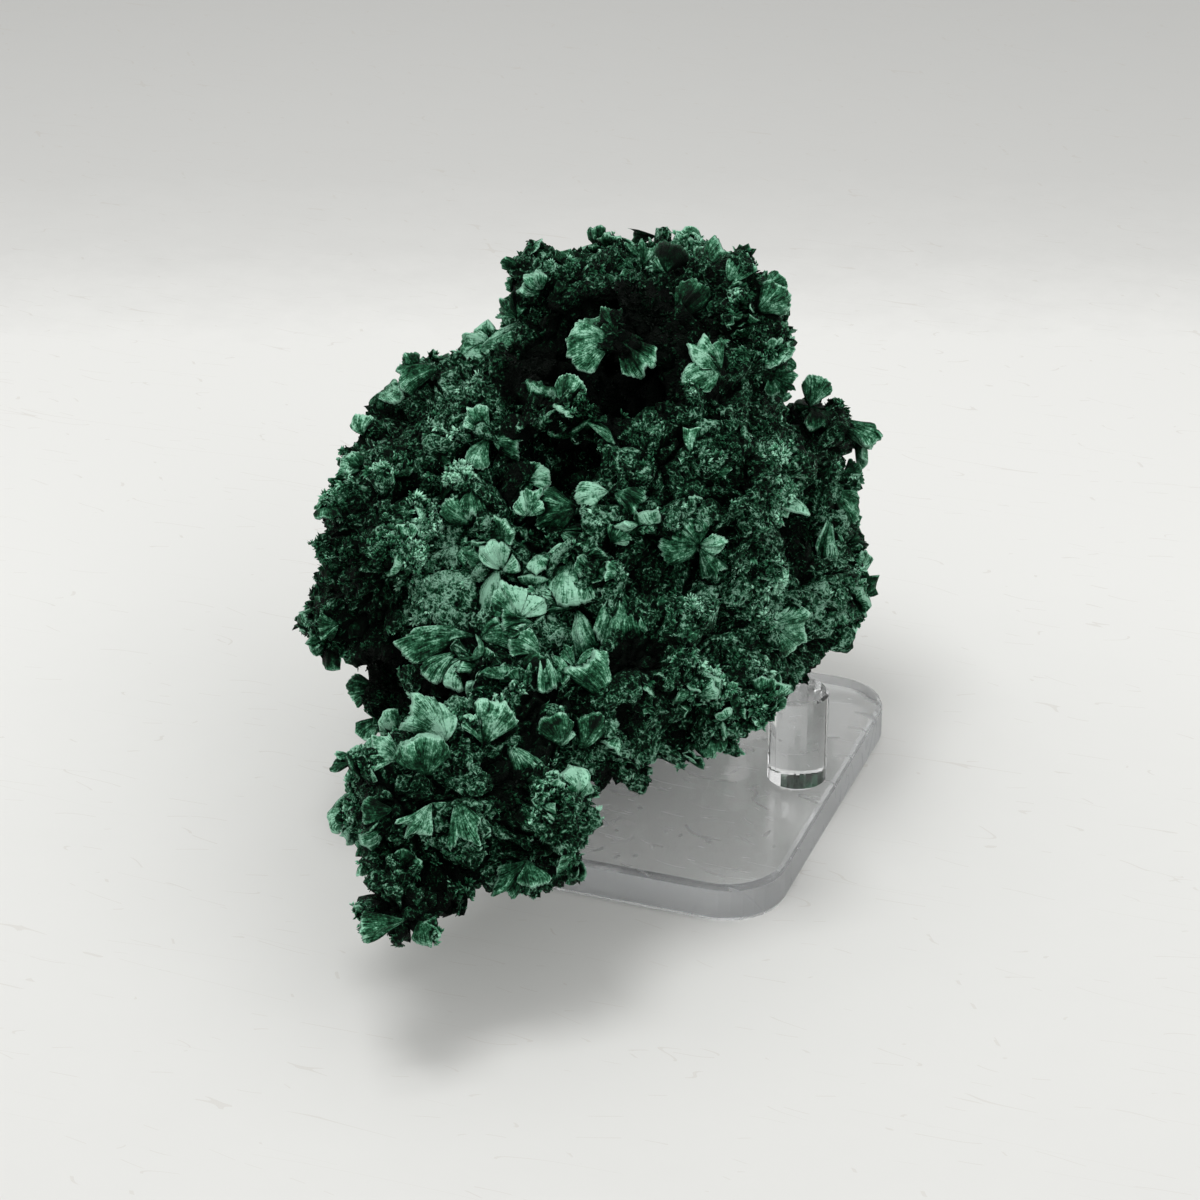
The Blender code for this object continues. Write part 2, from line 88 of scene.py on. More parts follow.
# Scratches in the acrylic: turn, how far their curves are stretched, curves a metre
SCRATCHES = ((0.9, 2.5, 55), (-0.7, 3.0, 42), (1.9, 2.5, 75))
SCRATCH_WIDTH = 0.00018
SCRATCH_BREAKS = 1.7
SCRATCH_GATE = 0.6
SCRATCH_ROUGHNESS = 0.5
SCRATCH_DEPTH = 0.0002
# Scuffs on the table, in the same way
SCUFFS = ((0.5, 9.0, 14), (-0.9, 12.0, 9), (1.4, 4.0, 45))
FLOOR_MARK = 0.2
FLOOR_MARK_COLOUR = (0.45, 0.40, 0.34)

# Greens from the dark hearts of the tufts to the mint of the rims
GREENS = (
    (0.0, (0.0004, 0.003, 0.0012)), (0.25, (0.0016, 0.018, 0.0068)),
    (0.5, (0.013, 0.082, 0.036)), (0.75, (0.082, 0.274, 0.156)),
    (1.0, (0.4, 0.76, 0.56)),
)
FAN_LEVEL = 0.28
FAN_VARIETY = 0.55
MOSS_LEVEL = -0.04
MOSS_VARIETY = 0.45
MASS_LEVEL = 0.18
# Noise in the green. Streaks along the needles: stretch, detail, roughness, gain. Specks, patches
# and felt: scale, detail, roughness, gain.
STREAKS = (((5.5, 0.30, 1.0), 3.0, 0.6, 1.4), ((0.8, 0.1, 1.0), 2.0, 0.5, 0.8))
SPECKS = ((2300, 2.0, 0.6, 0.9), (260, 4.0, 0.65, 1.7), (900, 3.0, 0.7, 1.0))
PATCHES = (150, 3.0, 0.6, 1.4)
BROAD_PATCHES = (55, 2.0, 0.5, 0.7)
FELT = ((620, 2.0, 0.6, 1.7), (1900, 3.0, 0.7, 2.0))
# The net of curling fibres: scales, sharpness, gain, level; then its noise's detail, roughness
FELT_NET = ((520, 1100), 12, 0.4, -0.24)
WORM_NOISE = (1.5, 0.4)
# How the green pales towards a rim or tip: power of the reach, gain. The fans' first, narrow rim
# band is a painted highlight along the rim.
RIM_TONES_AND_HIGHLIGHT = ((26.0, 0.5), (3.0, -0.1))
TIP_TONE = (2.0, 0.55)
SILK_SPECULAR = 0.08
FAN_ROUGHNESS = 0.5
MOSS_ROUGHNESS = 0.45
MASS_ROUGHNESS = 0.6
# Bumps: strength, and depth in metres; and how much the crust adds to the streaks
FAN_BUMP = (0.9, 0.0006)
MASS_BUMP = (1.0, 0.0012)
CRUST_BUMP = 1.2
# Painted light that pales the green with height above the skin, and painted shade that darkens it
# in the depths, per millimetre
STAND_LIGHT_GAIN = 0.03
STAND_LIGHT_RANGE = (-3.0, 5.0)
DEEP_SHADE_GAIN = 0.05
DEEP_SHADE_FROM = 4.0
DEEP_SHADE_RANGE = 9.0
# Painted light and shade from how open each point is: the green pales in the open, and painted
# shade turns it black in narrow gaps
SHADE_REACH = 7 * MM
SHADE_RAYS = 14
SHADE_START = 0.1 * MM
SHADE_WIDTH = 0.97
SHADE_GAIN = 1.1
SHADE_MIDDLE = 0.6
SHADE_MOST = 0.78
# Painted shade in the hollows: how dark they are, and where that fades, as shares of their size
HOLLOW_SHADE = -0.6
HERO_HOLLOW_SHADE = -0.05
HOLLOW_SHADE_EDGE = (0.95, 1.4)
LUMP_CELL = 3.0
LUMP_SMOOTHING = 40
# Paler and darker parts of the display face, partly tone and partly painted light and painted
# shade: across, up, radius, gain
PALE_AND_SHADE_PATCHES = (
    # The left shoulder, its block, the fans below, and painted shade in the gap between them
    (-26, 16, 15, 0.2), (-31, 0, 8, 0.4), (-34, -12, 7, -0.25), (-31, -24, 11, 0.3),
    # The middle fans, painted shade in the gaps between them and before the pale band below, and
    # that band
    (-10, -4, 11, 0.35), (2, 14, 11, 0.15), (18, 2, 11, 0.15), (14, 7, 6, -0.2),
    (0, -18, 9, -0.2), (2, -30, 11, 0.3),
    # The snout, and its shaded tip
    (-27, -43, 15, 0.25), (-37, -60, 9, -0.2),
    # The shaded left outline
    (-49, 6, 13, -0.2), (-51, -34, 6, -0.25),
    # The crest left of the crown hollow, the fans in the hollow, and painted shade on the crown and
    # the fans right of it
    (-25, 36, 12, 0.25), (-7, 30, 8, 0.5), (-22, 52, 8, 0.2), (-3, 50, 8, 0.2),
    (22, 44, 9, 0.25), (8, 64, 12, -0.05), (30, 56, 9, -0.2),
    # The right wall, its lobe and the far dome
    (31, 22, 14, 0.2), (31, -3, 12, 0.28), (45, 12, 9, 0.15), (42, -2, 9, 0.1),
    (53, 33, 7, -0.35), (43, 41, 6, -0.2),
)

# The order of a quad's corners seen from its other side
FLIPPED = (0, 3, 2, 1)
# Fans: columns and rows of each, and how unlike the lobes and needles are
HERO_SEED = 5
HERO_GRID = (32, 8)
MATE_GRID = (16, 5)
MATES = 0.5
RIM_LOBES = 0.1
LOBE_SPREAD = 34
RIM_SAGS = (-0.05, 0.1, 0.2, 0.3)
HERO_THINNESS = 0.8
RIB_JITTER = 0.25
NEEDLE_JITTER = 0.035
ROW_SPACING = 0.85
# Ranges of the rim's curl, the sides' cup and the folds between ribs, and how the two grow
FAN_BENDS = ((-0.05, 0.4), (-0.4, 0.25), (0.05, 0.24))
CURL_POWER = 2.2
FOLD_POWER = 1.3
# Fans that share a node: ranges of their turn, lean and size, and their spread
MATE_RANGES = ((0.7, 2.0), (-0.4, 0.6), (0.5, 0.8))
MATE_SPREAD = 0.9
RIM_ROLL = 7
RIDGE_HEIGHT = 0.12
FINE_RIDGES = 0.6
RIDGE_POWER = 0.6
RIDGES_UNDER = 0.5
# A fan's thickness: share at the node, its growth, thinning of the sides and its power, and the
# least share at the rim and the sides
FAN_THICKNESS = (0.1, 0.75, 0.75, 6, 0.04, 0.05)
# Shifts the streaks of a fan's underside
UNDER_SHIFT = (3.3, 0, 5.1)
CRUMPLE_SIZE = 5.0
CRUMPLE = 0.8
# Small fans between the large ones: pieces, count in each, grid, radius, seed
LEAFLETS = (
    ("malachite_leaflets", 760, (10, 4), (3.0, 6.5), 21),
    ("malachite_blades", 1500, (8, 3), (1.5, 4.0), 22),
)
LEAFLET_FLOOR = 27
LEAFLET_SINK = 0.4
# Ranges of their stand, half spread and thickness as a share of the radius
LEAFLET_RANGES = ((8, 52), (25, 80), (0.22, 0.45))
LEAFLET_SIZES = 1.6
HOLLOW_MARGIN = 1.2
# Small fans and tufts gather in clusters, and few grow on the large fans
CLUSTER_SIZE = 11.0
# Where they grow, by height above the skin and by cluster: level, gain, least, most
STAND_SHARE = (0.4, 0.4, 0.05, 1)
CLUSTER_SHARE = (0.45, 1.6, 0.12, 1.5)
FAN_MIDDLE = 0.55
FAN_CLEARANCE = 0.62
FAN_COVER = 0.06
# Block-like crystals: how finely cut, and size and height of their waves and grain
BLOCK_CUTS = 9
BLOCK_WAVES = ((3.5, 0.35), (0.9, 0.25))
BLOCK_SHARP = 0.55
# The blocks' faces are kept in their order along this direction
FACE_ORDER = Vector((1.0, 0.618, 0.383))
# Mossy walls of the display face, with few small fans: across, up, radius
MOSSY = ((-46, 16, 17), (-40, 36, 8), (32, 16, 13), (30, -6, 13), (10, 22, 7), (-45, -4, 8))
MOSSY_SHARE = 0.2
MOSSY_GAIN = 1.7
# Where the right peg's top shows: nothing small grows
PEG_VIEW = ((42, -14, 9),)
# Where no small fan grows in front of a block: across, up, radius
BARE = ((-30, -1, 8), (46, -7.5, 6), (43, 2, 8))
# Faces that stay smooth, with few tufts
SMOOTH = ((-30, -0.5, 7), (43, 2, 7), (47, 26, 9))
SMOOTH_COVER = 0.1

# The mass: size of the crags, how unlike their heights are, depth of the crevices between
MASS_CELL = 0.66
MASS_TRIANGLES = 195000
CRAGS = ((11.0, 1.8, 2.6), (4.6, 0.9, 1.5))
CRAG_WARP = (0.7, 0.35)
CRAG_SPREAD = 13.7
CREVICE_WIDTH = 0.09
CRESTS = ((9.0, 1.5), (3.6, 1.0))
CREST_WARP = (0.6, 0.5)
CREST_NOISE = (0.9, 2.1, 3, 1.0, 2.0)
CREST_LEVEL = 1.1
MASS_SHIFT = 1.1

# Needle tufts
MOSS_PIECES = 2
TUFTS_EACH = 9500
MOSS_SEED = 71
LEAVES = 5
TUFT_LENGTH = 1.45
# Sizes: least, range, power; then the leaves' jitters and lengths, and where their middles are:
# along the leaf, out of the tuft and off the surface
TUFT_SIZES = (0.55, 0.9, 1.5)
LEAF_JITTER = 0.12
LEAF_LEAN = 0.22
LEAF_LENGTHS = (0.7, 1.1)
LEAF_MIDDLE = (0.6, 0.7, 0.15)
TUFT_SPREAD = 0.7
TUFT_RISE = (0.0, 0.5)
TUFT_ROOT = 0.25
LEAF_WIDTH = 0.15

# The display face, from which the specimen is seen. Places on it are (across, up) in mm on the
# plane through FACE_CENTRE, lined up from an eye FACE_DISTANCE in front; away is the depth behind
# that plane. RIGHT, BACK and UP are the directions across it, into it and up it.
FACE_TURN = math.radians(20)
FACE_PITCH = math.radians(27)
FACE_DISTANCE = 700
FACE_CENTRE = Vector((-7, -8, 45))
RIGHT = Vector((math.cos(FACE_TURN), math.sin(FACE_TURN), 0))
BACK = Vector((-math.sin(FACE_TURN), math.cos(FACE_TURN), 0))
AWAY = BACK * math.cos(FACE_PITCH) - Vector((0, 0, math.sin(FACE_PITCH)))
UP = RIGHT.cross(AWAY)
EYE = FACE_CENTRE - AWAY * FACE_DISTANCE

# Lobes of the mass: (across, up, away) of the centre, then half width, depth and height
LOBES = {
    "core": ((0, 22, 8), (41, 46, 37)), "crown": ((8, 50, 14), (28, 33, 19)),
    "crown_right": ((23.5, 50, 8), (10, 24, 17.5)), "crown_left": ((-10, 63, 10), (8, 12, 7)),
    "brow": ((-26, 33, 4), (20, 30, 16)), "cheek": ((-40.5, 12, -2), (12, 28, 23)),
    "cheek_low": ((-43.5, -1, 0), (10, 19, 10)), "wall": ((26, 16, 0), (12, 33, 37)),
    "back_right": ((40, 19, 32), (11, 22, 23)), "hip": ((41, 3, 22), (10.5, 15, 13)),
    "dome": ((42.5, 1, 6), (8, 8, 6)), "belly": ((10, -9, -20), (20, 28, 17)),
    "belly_low": ((9, -30, -38), (7, 11, 8)), "neck": ((-18, -20, -36), (21, 24, 16)),
    "snout": ((-32, -41, -56), (15, 17, 18)), "snout_right": ((-14, -44, -50), (11.5, 15, 13)),
    "snout_tip": ((-39, -59, -70), (8, 9, 8)), "rear": ((-4, 30, 56), (33, 25, 24)),
    "snout_low": ((-29, -57.5, -66), (8, 9, 6)),
}
# Lobes that come down onto the pegs: (x, y, z) of the centre, then the half sizes
SEATS = (
    ((23, 3, 42), (13, 14, 16)), ((-31, -31, 41), (14, 14, 15)), ((-30, 31, 42), (14, 14, 16)),
)
# Hollows between the crystals, and the masses that stand in them, given as the lobes are
HOLLOWS = {
    "crown_hollow": ((2, 48, -14), (18, 17, 11)),
    "crown_hollow_left": ((-13, 49, -12), (8, 12, 7)), "slot": ((-31, -5, -26), (7, 9, 1.6)),
    "cleft": ((-28, -19.5, -46), (15, 14, 3.2)), "cleft_left": ((-43, -17, -20), (7, 10, 7)),
    "cleft_right": ((-13, -24, -52), (2.5, 12, 8)), "undercut": ((5, -17, -38), (5, 10, 7)),
    "snout_gap": ((-18, -37, -62), (3.5, 9, 5)), "valley": ((-8, 28, -28), (9, 10, 4)),
    "wall_gap": ((39, 11, 3), (2.8, 8, 7)), "chin_gap": ((1, -38, -44), (3, 8, 5)),
}
ISLANDS = {
    "hollow_boss": ((12, 45, -8), (9, 8, 7)), "hollow_stalk": ((5, 51, -14), (3.5, 12, 3.5)),
}

LOBE_DETAIL = 4
SKIN_CELL = 2.2
HOLLOW_CELL = 1.5
SWELL_NOISE = (1.0, 2.0, 2)
SWELL_SIZE = 26
SWELL_HEIGHT = 4.5
LUMP_SIZE = 14
LUMP_HEIGHT = 6.0
LUMP_LEVEL = 0.55

# Fans on the display face: across and up of the node that the needles grow from; roll, the way the
# rim points (0 right, 90 up); stand, how far it tips up off the surface; radius; half spread;
# thickness at the rim; and, for some, how far behind the surface the node lies
FANS = (
    # crown and its hollow
    (3, 51.5, 175, 30, 8.5, 62, 3, 1), (3, 51.5, -50, 30, 10, 30, 2.6, 1),
    (3, 52, 112, 30, 7, 30, 2.6, 1), (-0.5, 67, -85, 35, 8, 30, 3),
    (-0.5, 67, 190, 30, 7, 38, 3.5), (0, 66, 65, 35, 7.5, 45, 4),
    (-12, 61, 112, 55, 5.5, 50, 5), (8, 66, 85, 40, 7, 40, 4.5), (13, 65, 80, 40, 6.5, 40, 4),
    (19.5, 64, 88, 30, 9.5, 30, 4.5), (25.5, 62, 62, 35, 7, 32, 5),
    (15, 55, 60, 30, 8, 34, 2.6), (24.5, 45.5, 140, 30, 9, 48, 3.5),
    (24.5, 45.5, 212, 30, 8.5, 36, 3.5), (31, 57, 30, 35, 7, 45, 4.5),
    (31, 50, 8, 30, 6.5, 45, 4), (34, 44, -10, 35, 6, 45, 4), (8.5, 38, -50, 35, 6.5, 36, 3.5),
    (-7, 39, 75, 30, 5.5, 45, 2.5),
    # brow and the left outline
    (-43, 42, -35, 20, 9.5, 26, 3), (-28.5, 49, -20, 20, 8.5, 40, 3.5),
    (-32, 46, 200, 25, 7.5, 38, 3.5), (-36, 45, 125, 45, 5, 40, 4),
    (-24, 54, 130, 35, 6.5, 42, 4), (-18, 58, 140, 35, 6.5, 42, 4),
    (-34.5, 31.5, -60, 25, 8, 48, 3), (-22.5, 32.5, 120, 30, 6.5, 34, 2.6),
    (-22.5, 32.5, -20, 30, 7, 34, 2.6), (-22.5, 32.5, -110, 30, 6.5, 34, 2.6),
    (-25, 22.5, -88, 35, 6, 40, 4.5), (-47, 33, 110, 45, 4.5, 42, 3.5),
    (-48, 26, 170, 50, 4.5, 55, 5), (-52, -5, 200, 45, 4.5, 55, 5),
    (-45, -18, 180, 35, 6, 40, 3.5),
    # tangle of the middle
    (-31, 19, 60, 45, 5, 45, 2.4), (-26, 15, 150, 45, 5.5, 40, 2.4),
    (-20, 13, 30, 45, 5.5, 45, 2.4), (-28, 10, -20, 45, 5, 45, 2.4),
    (-20, 6, 100, 45, 5.5, 45, 2.4), (-14, 17, 80, 45, 5, 45, 2.4),
    (-13, 9, -70, 45, 5, 45, 2.4), (-15, 24, 20, 45, 5, 45, 2.4),
    (-4.5, 18.5, 190, 25, 8.5, 55, 6.5), (1.5, 22, 195, 30, 6.5, 42, 3.5),
    (2.5, 21.5, -30, 25, 7.5, 45, 3.5), (-7.5, 13.5, -38, 30, 8.5, 30, 3),
    (-5.5, 8, -95, 30, 8.5, 52, 4), (-5, 7.5, -12, 30, 8, 30, 3), (2.5, 11, 60, 40, 5, 40, 2.6),
    (3.5, 2.5, -88, 25, 11, 36, 4.5), (19.5, 10, 180, 30, 7, 34, 3),
    (19.5, 10, 110, 30, 7, 34, 3), (19.5, 10, 20, 30, 6, 34, 3), (19.5, 10, -60, 30, 7, 34, 3),
    (20, -5, 200, 30, 5.5, 40, 3),
    # above the cleft
    (-16, -3, 115, 40, 7, 40, 3), (-13, -4, 205, 35, 8.5, 26, 3),
    (-5, -1, -72, 25, 9.5, 24, 3.5), (-11, -10.5, -85, 30, 8.5, 44, 4),
    (-5, -13, 32, 40, 6, 30, 2.6), (-12, -10, 160, 35, 7, 38, 3),
    (-24.5, -6.5, 186, 25, 13.5, 19, 4.5), (-24, -7, -12, 30, 8, 30, 4),
    (-28, -10, 222, 30, 8, 28, 3.5), (-26.5, -11, -82, 30, 8, 30, 3.5),
    (3, -22, 128, 25, 11.5, 28, 5), (-7.5, -29, 110, 35, 6.5, 45, 5),
    (-3.5, -29.5, 65, 35, 7, 35, 4),
    # snout
    (-29.5, -27, 140, 30, 10.5, 38, 4.5), (-22.5, -28, 60, 30, 9, 38, 4.5),
    (-18.5, -27, -62, 30, 9.5, 28, 4), (-34.5, -34, 95, 50, 7.5, 58, 5),
    (-40, -31, 160, 30, 6, 48, 4), (-41, -42, 178, 30, 5, 42, 4), (-33, -40, 238, 25, 9, 30, 4),
    (-29, -39.5, -65, 25, 10, 30, 4), (-38, -63, 190, 25, 8.5, 24, 3.5),
    (-35, -63, -80, 40, 5, 40, 4.5), (-14, -51, 222, 25, 8.5, 30, 4),
    (-14, -51, -80, 35, 6.5, 36, 4), (-4, -39.5, 70, 30, 7, 55, 4.5),
    # right side
    (42, 39, 75, 35, 6.5, 42, 4), (42, 39, -88, 20, 9.5, 30, 4), (46, 36, -38, 25, 12, 27, 4),
    (48, 24, 25, 35, 5.5, 40, 3), (45.5, 22, -35, 25, 9, 30, 4),
    (45, 16.5, -95, 25, 9.5, 28, 4), (50, 11, 15, 35, 5.5, 42, 4),
    (34, -5, -8, 25, 8.5, 58, 5.5), (21.5, -25, -80, 35, 5.5, 45, 4.5),
)
# Block-like crystals: across and up of the centre, width, height, depth, roll
BLOCKS = ((-30, 0.5, 13, 10, 9, 4), (46, -7.5, 8, 5, 7, -8))
BLOCK_BEVEL = 0.9
# Fans over the sides, back and underside, spread evenly by direction from the mass's middle
SCATTER_CENTRE = Vector((-8, -12, 58))
SCATTER_TRIES = 225
SCATTER_SEED = 11
SCATTER_BEHIND = 4.0
SCATTER_REACH = 200
# Ranges of their roll, stand, radius, half spread and thickness
SCATTER_RANGES = ((0, 2 * math.pi), (15, 50), (7, 12), (28, 58), (3, 5.5))
UNDERSIDE_CLEAR = 4.0
NODE_DEPTH = 1.0
FACE_LEAN = 0.5
OUTLINE_STEPS = 12
OUTLINE_STEP = 0.02
RIM_TAPER = 0.18


def face_point(across, up, away):
    """The point that lies at (across, up) on the display face, at that depth."""
    return EYE + (AWAY * FACE_DISTANCE + RIGHT * across + UP * up) * (1 + away / FACE_DISTANCE)


def axes_at(point, *axes):
    """The matrix of those three axes at a point."""
    return Matrix.Translation(point) @ Matrix(axes).transposed().to_4x4()


def ellipsoid(centre, halves):
    """Turns a unit sphere into a lobe, its width along RIGHT and its depth along BACK."""
    return axes_at(centre, RIGHT, BACK, Vector((0, 0, 1))) @ Matrix.Diagonal((*halves, 1))


def face_ellipsoids(table):
    return [ellipsoid(face_point(*place), halves) for place, halves in table.values()]


def face_surface(across, up, skin):
    """The nearest surface seen at (across, up), or just inside the outline where that misses."""
    for inward in range(OUTLINE_STEPS):
        scale = 1 - inward * OUTLINE_STEP
        direction = (AWAY * FACE_DISTANCE + RIGHT * across * scale + UP * up * scale).normalized()
        point, normal, _, _ = skin.ray_cast(EYE, direction)
        if point:
            return point, (normal - AWAY * FACE_LEAN).normalized()
    raise ValueError(f"nothing lies under ({across}, {up})")


def fan_matrix(point, normal, along, stand):
    """A fan's own axes at a point: X across it, Y from its node to its rim, Z out of its face."""
    tangent = (along - normal * along.dot(normal)).normalized()
    tip = math.radians(stand)
    axis = tangent * math.cos(tip) + normal * math.sin(tip)
    out = normal * math.cos(tip) - tangent * math.sin(tip)
    return axes_at(point, axis.cross(out), axis, out)


def face_fans(skin):
    """The display face's fans, each set on the surface it lines up with."""
    for across, up, roll, stand, radius, spread, thickness, *sink in FANS:
        point, normal = face_surface(across, up, skin)
        turn = math.radians(roll)
        along = RIGHT * math.cos(turn) + UP * math.sin(turn)
        node = point + AWAY * sum(sink) - normal * NODE_DEPTH
        yield fan_matrix(node, normal, along, stand), radius, spread, thickness


def on_display(rim, skin):
    """Whether a fan with its rim there would show on the display face, or beyond its outline."""
    sight = rim - EYE
    _, _, _, distance = skin.ray_cast(EYE, sight.normalized())
    return distance is None or distance + SCATTER_BEHIND > sight.length


def rolled(normal, roll):
    """The direction along the surface at that roll."""
    side = normal.orthogonal().normalized()
    return side * math.cos(roll) + normal.cross(side) * math.sin(roll)


def draws(rng, ranges):
    return [rng.uniform(*limits) for limits in ranges]


def scattered_fans(skin):
    """Fans over the sides that the display face doesn't show, along a spiral of directions."""
    rng = random.Random(SCATTER_SEED)
    for i in range(SCATTER_TRIES):
        z = 1 - 2 * (i + 0.5) / SCATTER_TRIES
        turn = i * math.pi * (3 - math.sqrt(5))
        flat = math.sqrt(1 - z * z)
        direction = Vector((flat * math.cos(turn), flat * math.sin(turn), z))
        point, normal, _, _ = skin.ray_cast(SCATTER_CENTRE + direction * SCATTER_REACH, -direction)
        roll, stand, radius, spread, thickness = draws(rng, SCATTER_RANGES)
        matrix = fan_matrix(point - normal * NODE_DEPTH, normal, rolled(normal, roll), stand)
        rim = matrix @ Vector((0, radius, 0))
        if min(point.z, rim.z) < PEG_TOP / MM + UNDERSIDE_CLEAR or on_display(rim, skin):
            continue
        yield matrix, radius, spread, thickness


def add_block(mesh, skin, across, up, width, height, depth, roll):
    """A block of packed needles with flat sides, half sunk in the surface."""
    point, _ = face_surface(across, up, skin)
    place = axes_at(point, RIGHT, UP, -AWAY) @ Matrix.Rotation(math.radians(roll), 4, "Z")
    made = bmesh.ops.create_cube(mesh, matrix=place @ Matrix.Diagonal((width, height, depth, 1)))
    edges = {edge for vert in made["verts"] for edge in vert.link_edges}
    bmesh.ops.bevel(mesh, geom=list(edges), offset=BLOCK_BEVEL, segments=1, affect="EDGES")


def new_object(name, data):
    """An object of that name, from a bmesh, mesh, lamp or camera."""
    if isinstance(data, bmesh.types.BMesh):
        mesh, data = data, bpy.data.meshes.new(name)
        bmesh.ops.recalc_face_normals(mesh, faces=mesh.faces)
        mesh.to_mesh(data)
        mesh.free()
    made = bpy.data.objects.new(name, data)
    bpy.context.scene.collection.objects.link(made)
    return made


def evaluated(shape):
    """A mesh of the object with its modifiers applied. The object itself is removed."""
    bpy.context.view_layer.update()
    depsgraph = bpy.context.evaluated_depsgraph_get()
    data = bpy.data.meshes.new_from_object(shape.evaluated_get(depsgraph))
    bpy.data.objects.remove(shape, do_unlink=True)
    return data


def put(target, **settings):
    for key, value in settings.items():
        setattr(target, key, value)
    return target


def modify(shape, kind, **settings):
    put(shape.modifiers.new(kind.lower(), kind), **settings)


def remesh(shape, cell):
    modify(shape, "REMESH", mode="VOXEL", voxel_size=cell)


def fused(matrices, cell):
    """One closed skin round overlapping ellipsoids."""
    mesh = bmesh.new()
    for matrix in matrices:
        bmesh.ops.create_icosphere(mesh, subdivisions=LOBE_DETAIL, radius=1, matrix=matrix)
    shape = new_object("fused", mesh)
    remesh(shape, cell)
    return evaluated(shape)


def roughen(mesh):
    """Moves each point along its normal: broad swells, and rounded lumps with creases between."""
    normals = [vert.normal.copy() for vert in mesh.vertices]
    for vert, normal in zip(mesh.vertices, normals):
        place = vert.co.copy()
        swell = noise.fractal(place / SWELL_SIZE, *SWELL_NOISE)
        lump = LUMP_LEVEL - noise.voronoi(place / LUMP_SIZE)[0][0]
        vert.co = place + normal * (SWELL_HEIGHT * swell + LUMP_HEIGHT * lump)
    mesh.update()


def rough_skin():
    """The lobes as one lumpy skin, with the hollows cut into it."""
    seats = [ellipsoid(Vector(centre), halves) for centre, halves in SEATS]
    shape = new_object("skin", fused(face_ellipsoids(LOBES) + seats, SKIN_CELL))
    tools = []
    for table, operation in ((HOLLOWS, "DIFFERENCE"), (ISLANDS, "UNION")):
        tools.append(new_object(operation, fused(face_ellipsoids(table), HOLLOW_CELL)))
        settings = {"object": tools[-1], "operation": operation, "solver": "EXACT"}
        modify(shape, "BOOLEAN", use_self=operation == "UNION", **settings)
    remesh(shape, SKIN_CELL)
    smooth = evaluated(shape)
    for tool in tools:
        bpy.data.objects.remove(tool, do_unlink=True)
    roughen(smooth)
    shape = new_object("skin", smooth)
    remesh(shape, SKIN_CELL)
    return evaluated(shape)


def search_tree(*meshes):
    whole = bmesh.new()
    for data in meshes:
        whole.from_mesh(data)
    tree = BVHTree.FromBMesh(whole)
    whole.free()
    return tree


def set_material(data, material):
    data.materials.clear()
    data.materials.append(material)


def read(items, field, size=3):
    """A value of each vertex or face, as one array."""
    values = np.zeros(len(items) * size)
    items.foreach_get(field, values)
    return values.reshape(-1, size)


def add_values(data, name, values):
    """Stores a number or a vector for each vertex."""
    kind, field = ("FLOAT_VECTOR", "vector") if values.ndim == 2 else ("FLOAT", "value")
    layer = data.attributes.new(name, kind, "POINT")
    layer.data.foreach_set(field, values.astype(np.float32).reshape(-1))


def write_mesh(name, verts, faces, attributes, material):
    """A mesh object in metres from arrays in millimetres; faces is a list of index arrays."""
    data = bpy.data.meshes.new(name)
    sizes = np.concatenate([np.full(len(part), part.shape[1], np.int32) for part in faces])
    corners = np.concatenate([part.reshape(-1) for part in faces]).astype(np.int32)
    data.vertices.add(len(verts))
    data.vertices.foreach_set("co", (verts * MM).astype(np.float32).reshape(-1))
    data.loops.add(len(corners))
    data.loops.foreach_set("vertex_index", corners)
    data.polygons.add(len(sizes))
    starts = np.concatenate([[0], np.cumsum(sizes)[:-1]]).astype(np.int32)
    data.polygons.foreach_set("loop_start", starts)
    for key, values in attributes.items():
        add_values(data, key, values)
    data.update(calc_edges=True)
    data.validate()
    data.materials.append(material)
    return new_object(name, data)


def as_piece(made):
    """Everything here stands for the malachite, and nothing moves."""
    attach(made, "root")
    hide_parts("malachite")
    return made


# Fans

def wander(rng, count, knots):
    """Values that wander between -1 and 1 over count steps, in straight runs between knots."""
    points = [rng.uniform(-1, 1) for _ in range(knots + 2)]
    return np.interp(np.linspace(0, knots + 1, count), range(knots + 2), points)


def scalloped(rng, columns, spread):
    """A rim's reach at each needle, and how far along the fold between two ribs that needle is."""
    lobes = max(2, round(2 * spread / LOBE_SPREAD))
    ribs = np.array([1 + RIM_LOBES * rng.uniform(-1, 1) for _ in range(lobes + 1)])
    place = np.linspace(0, lobes, columns + 1) + RIB_JITTER * wander(rng, columns + 1, lobes)
    place = np.clip(place, 0, lobes)
    fold = 4 * (place % 1) * (1 - place % 1)
    sag = rng.choice(RIM_SAGS)
    needles = NEEDLE_JITTER * np.array([rng.uniform(-1, 1) for _ in place])
    return np.interp(place, range(lobes + 1), ribs) - sag * fold + needles, fold


def quads_between(one, two):
    """Faces between two rows of corners."""
    return np.stack([one[..., :-1], one[..., 1:], two[..., 1:], two[..., :-1]], -1).reshape(-1, 4)


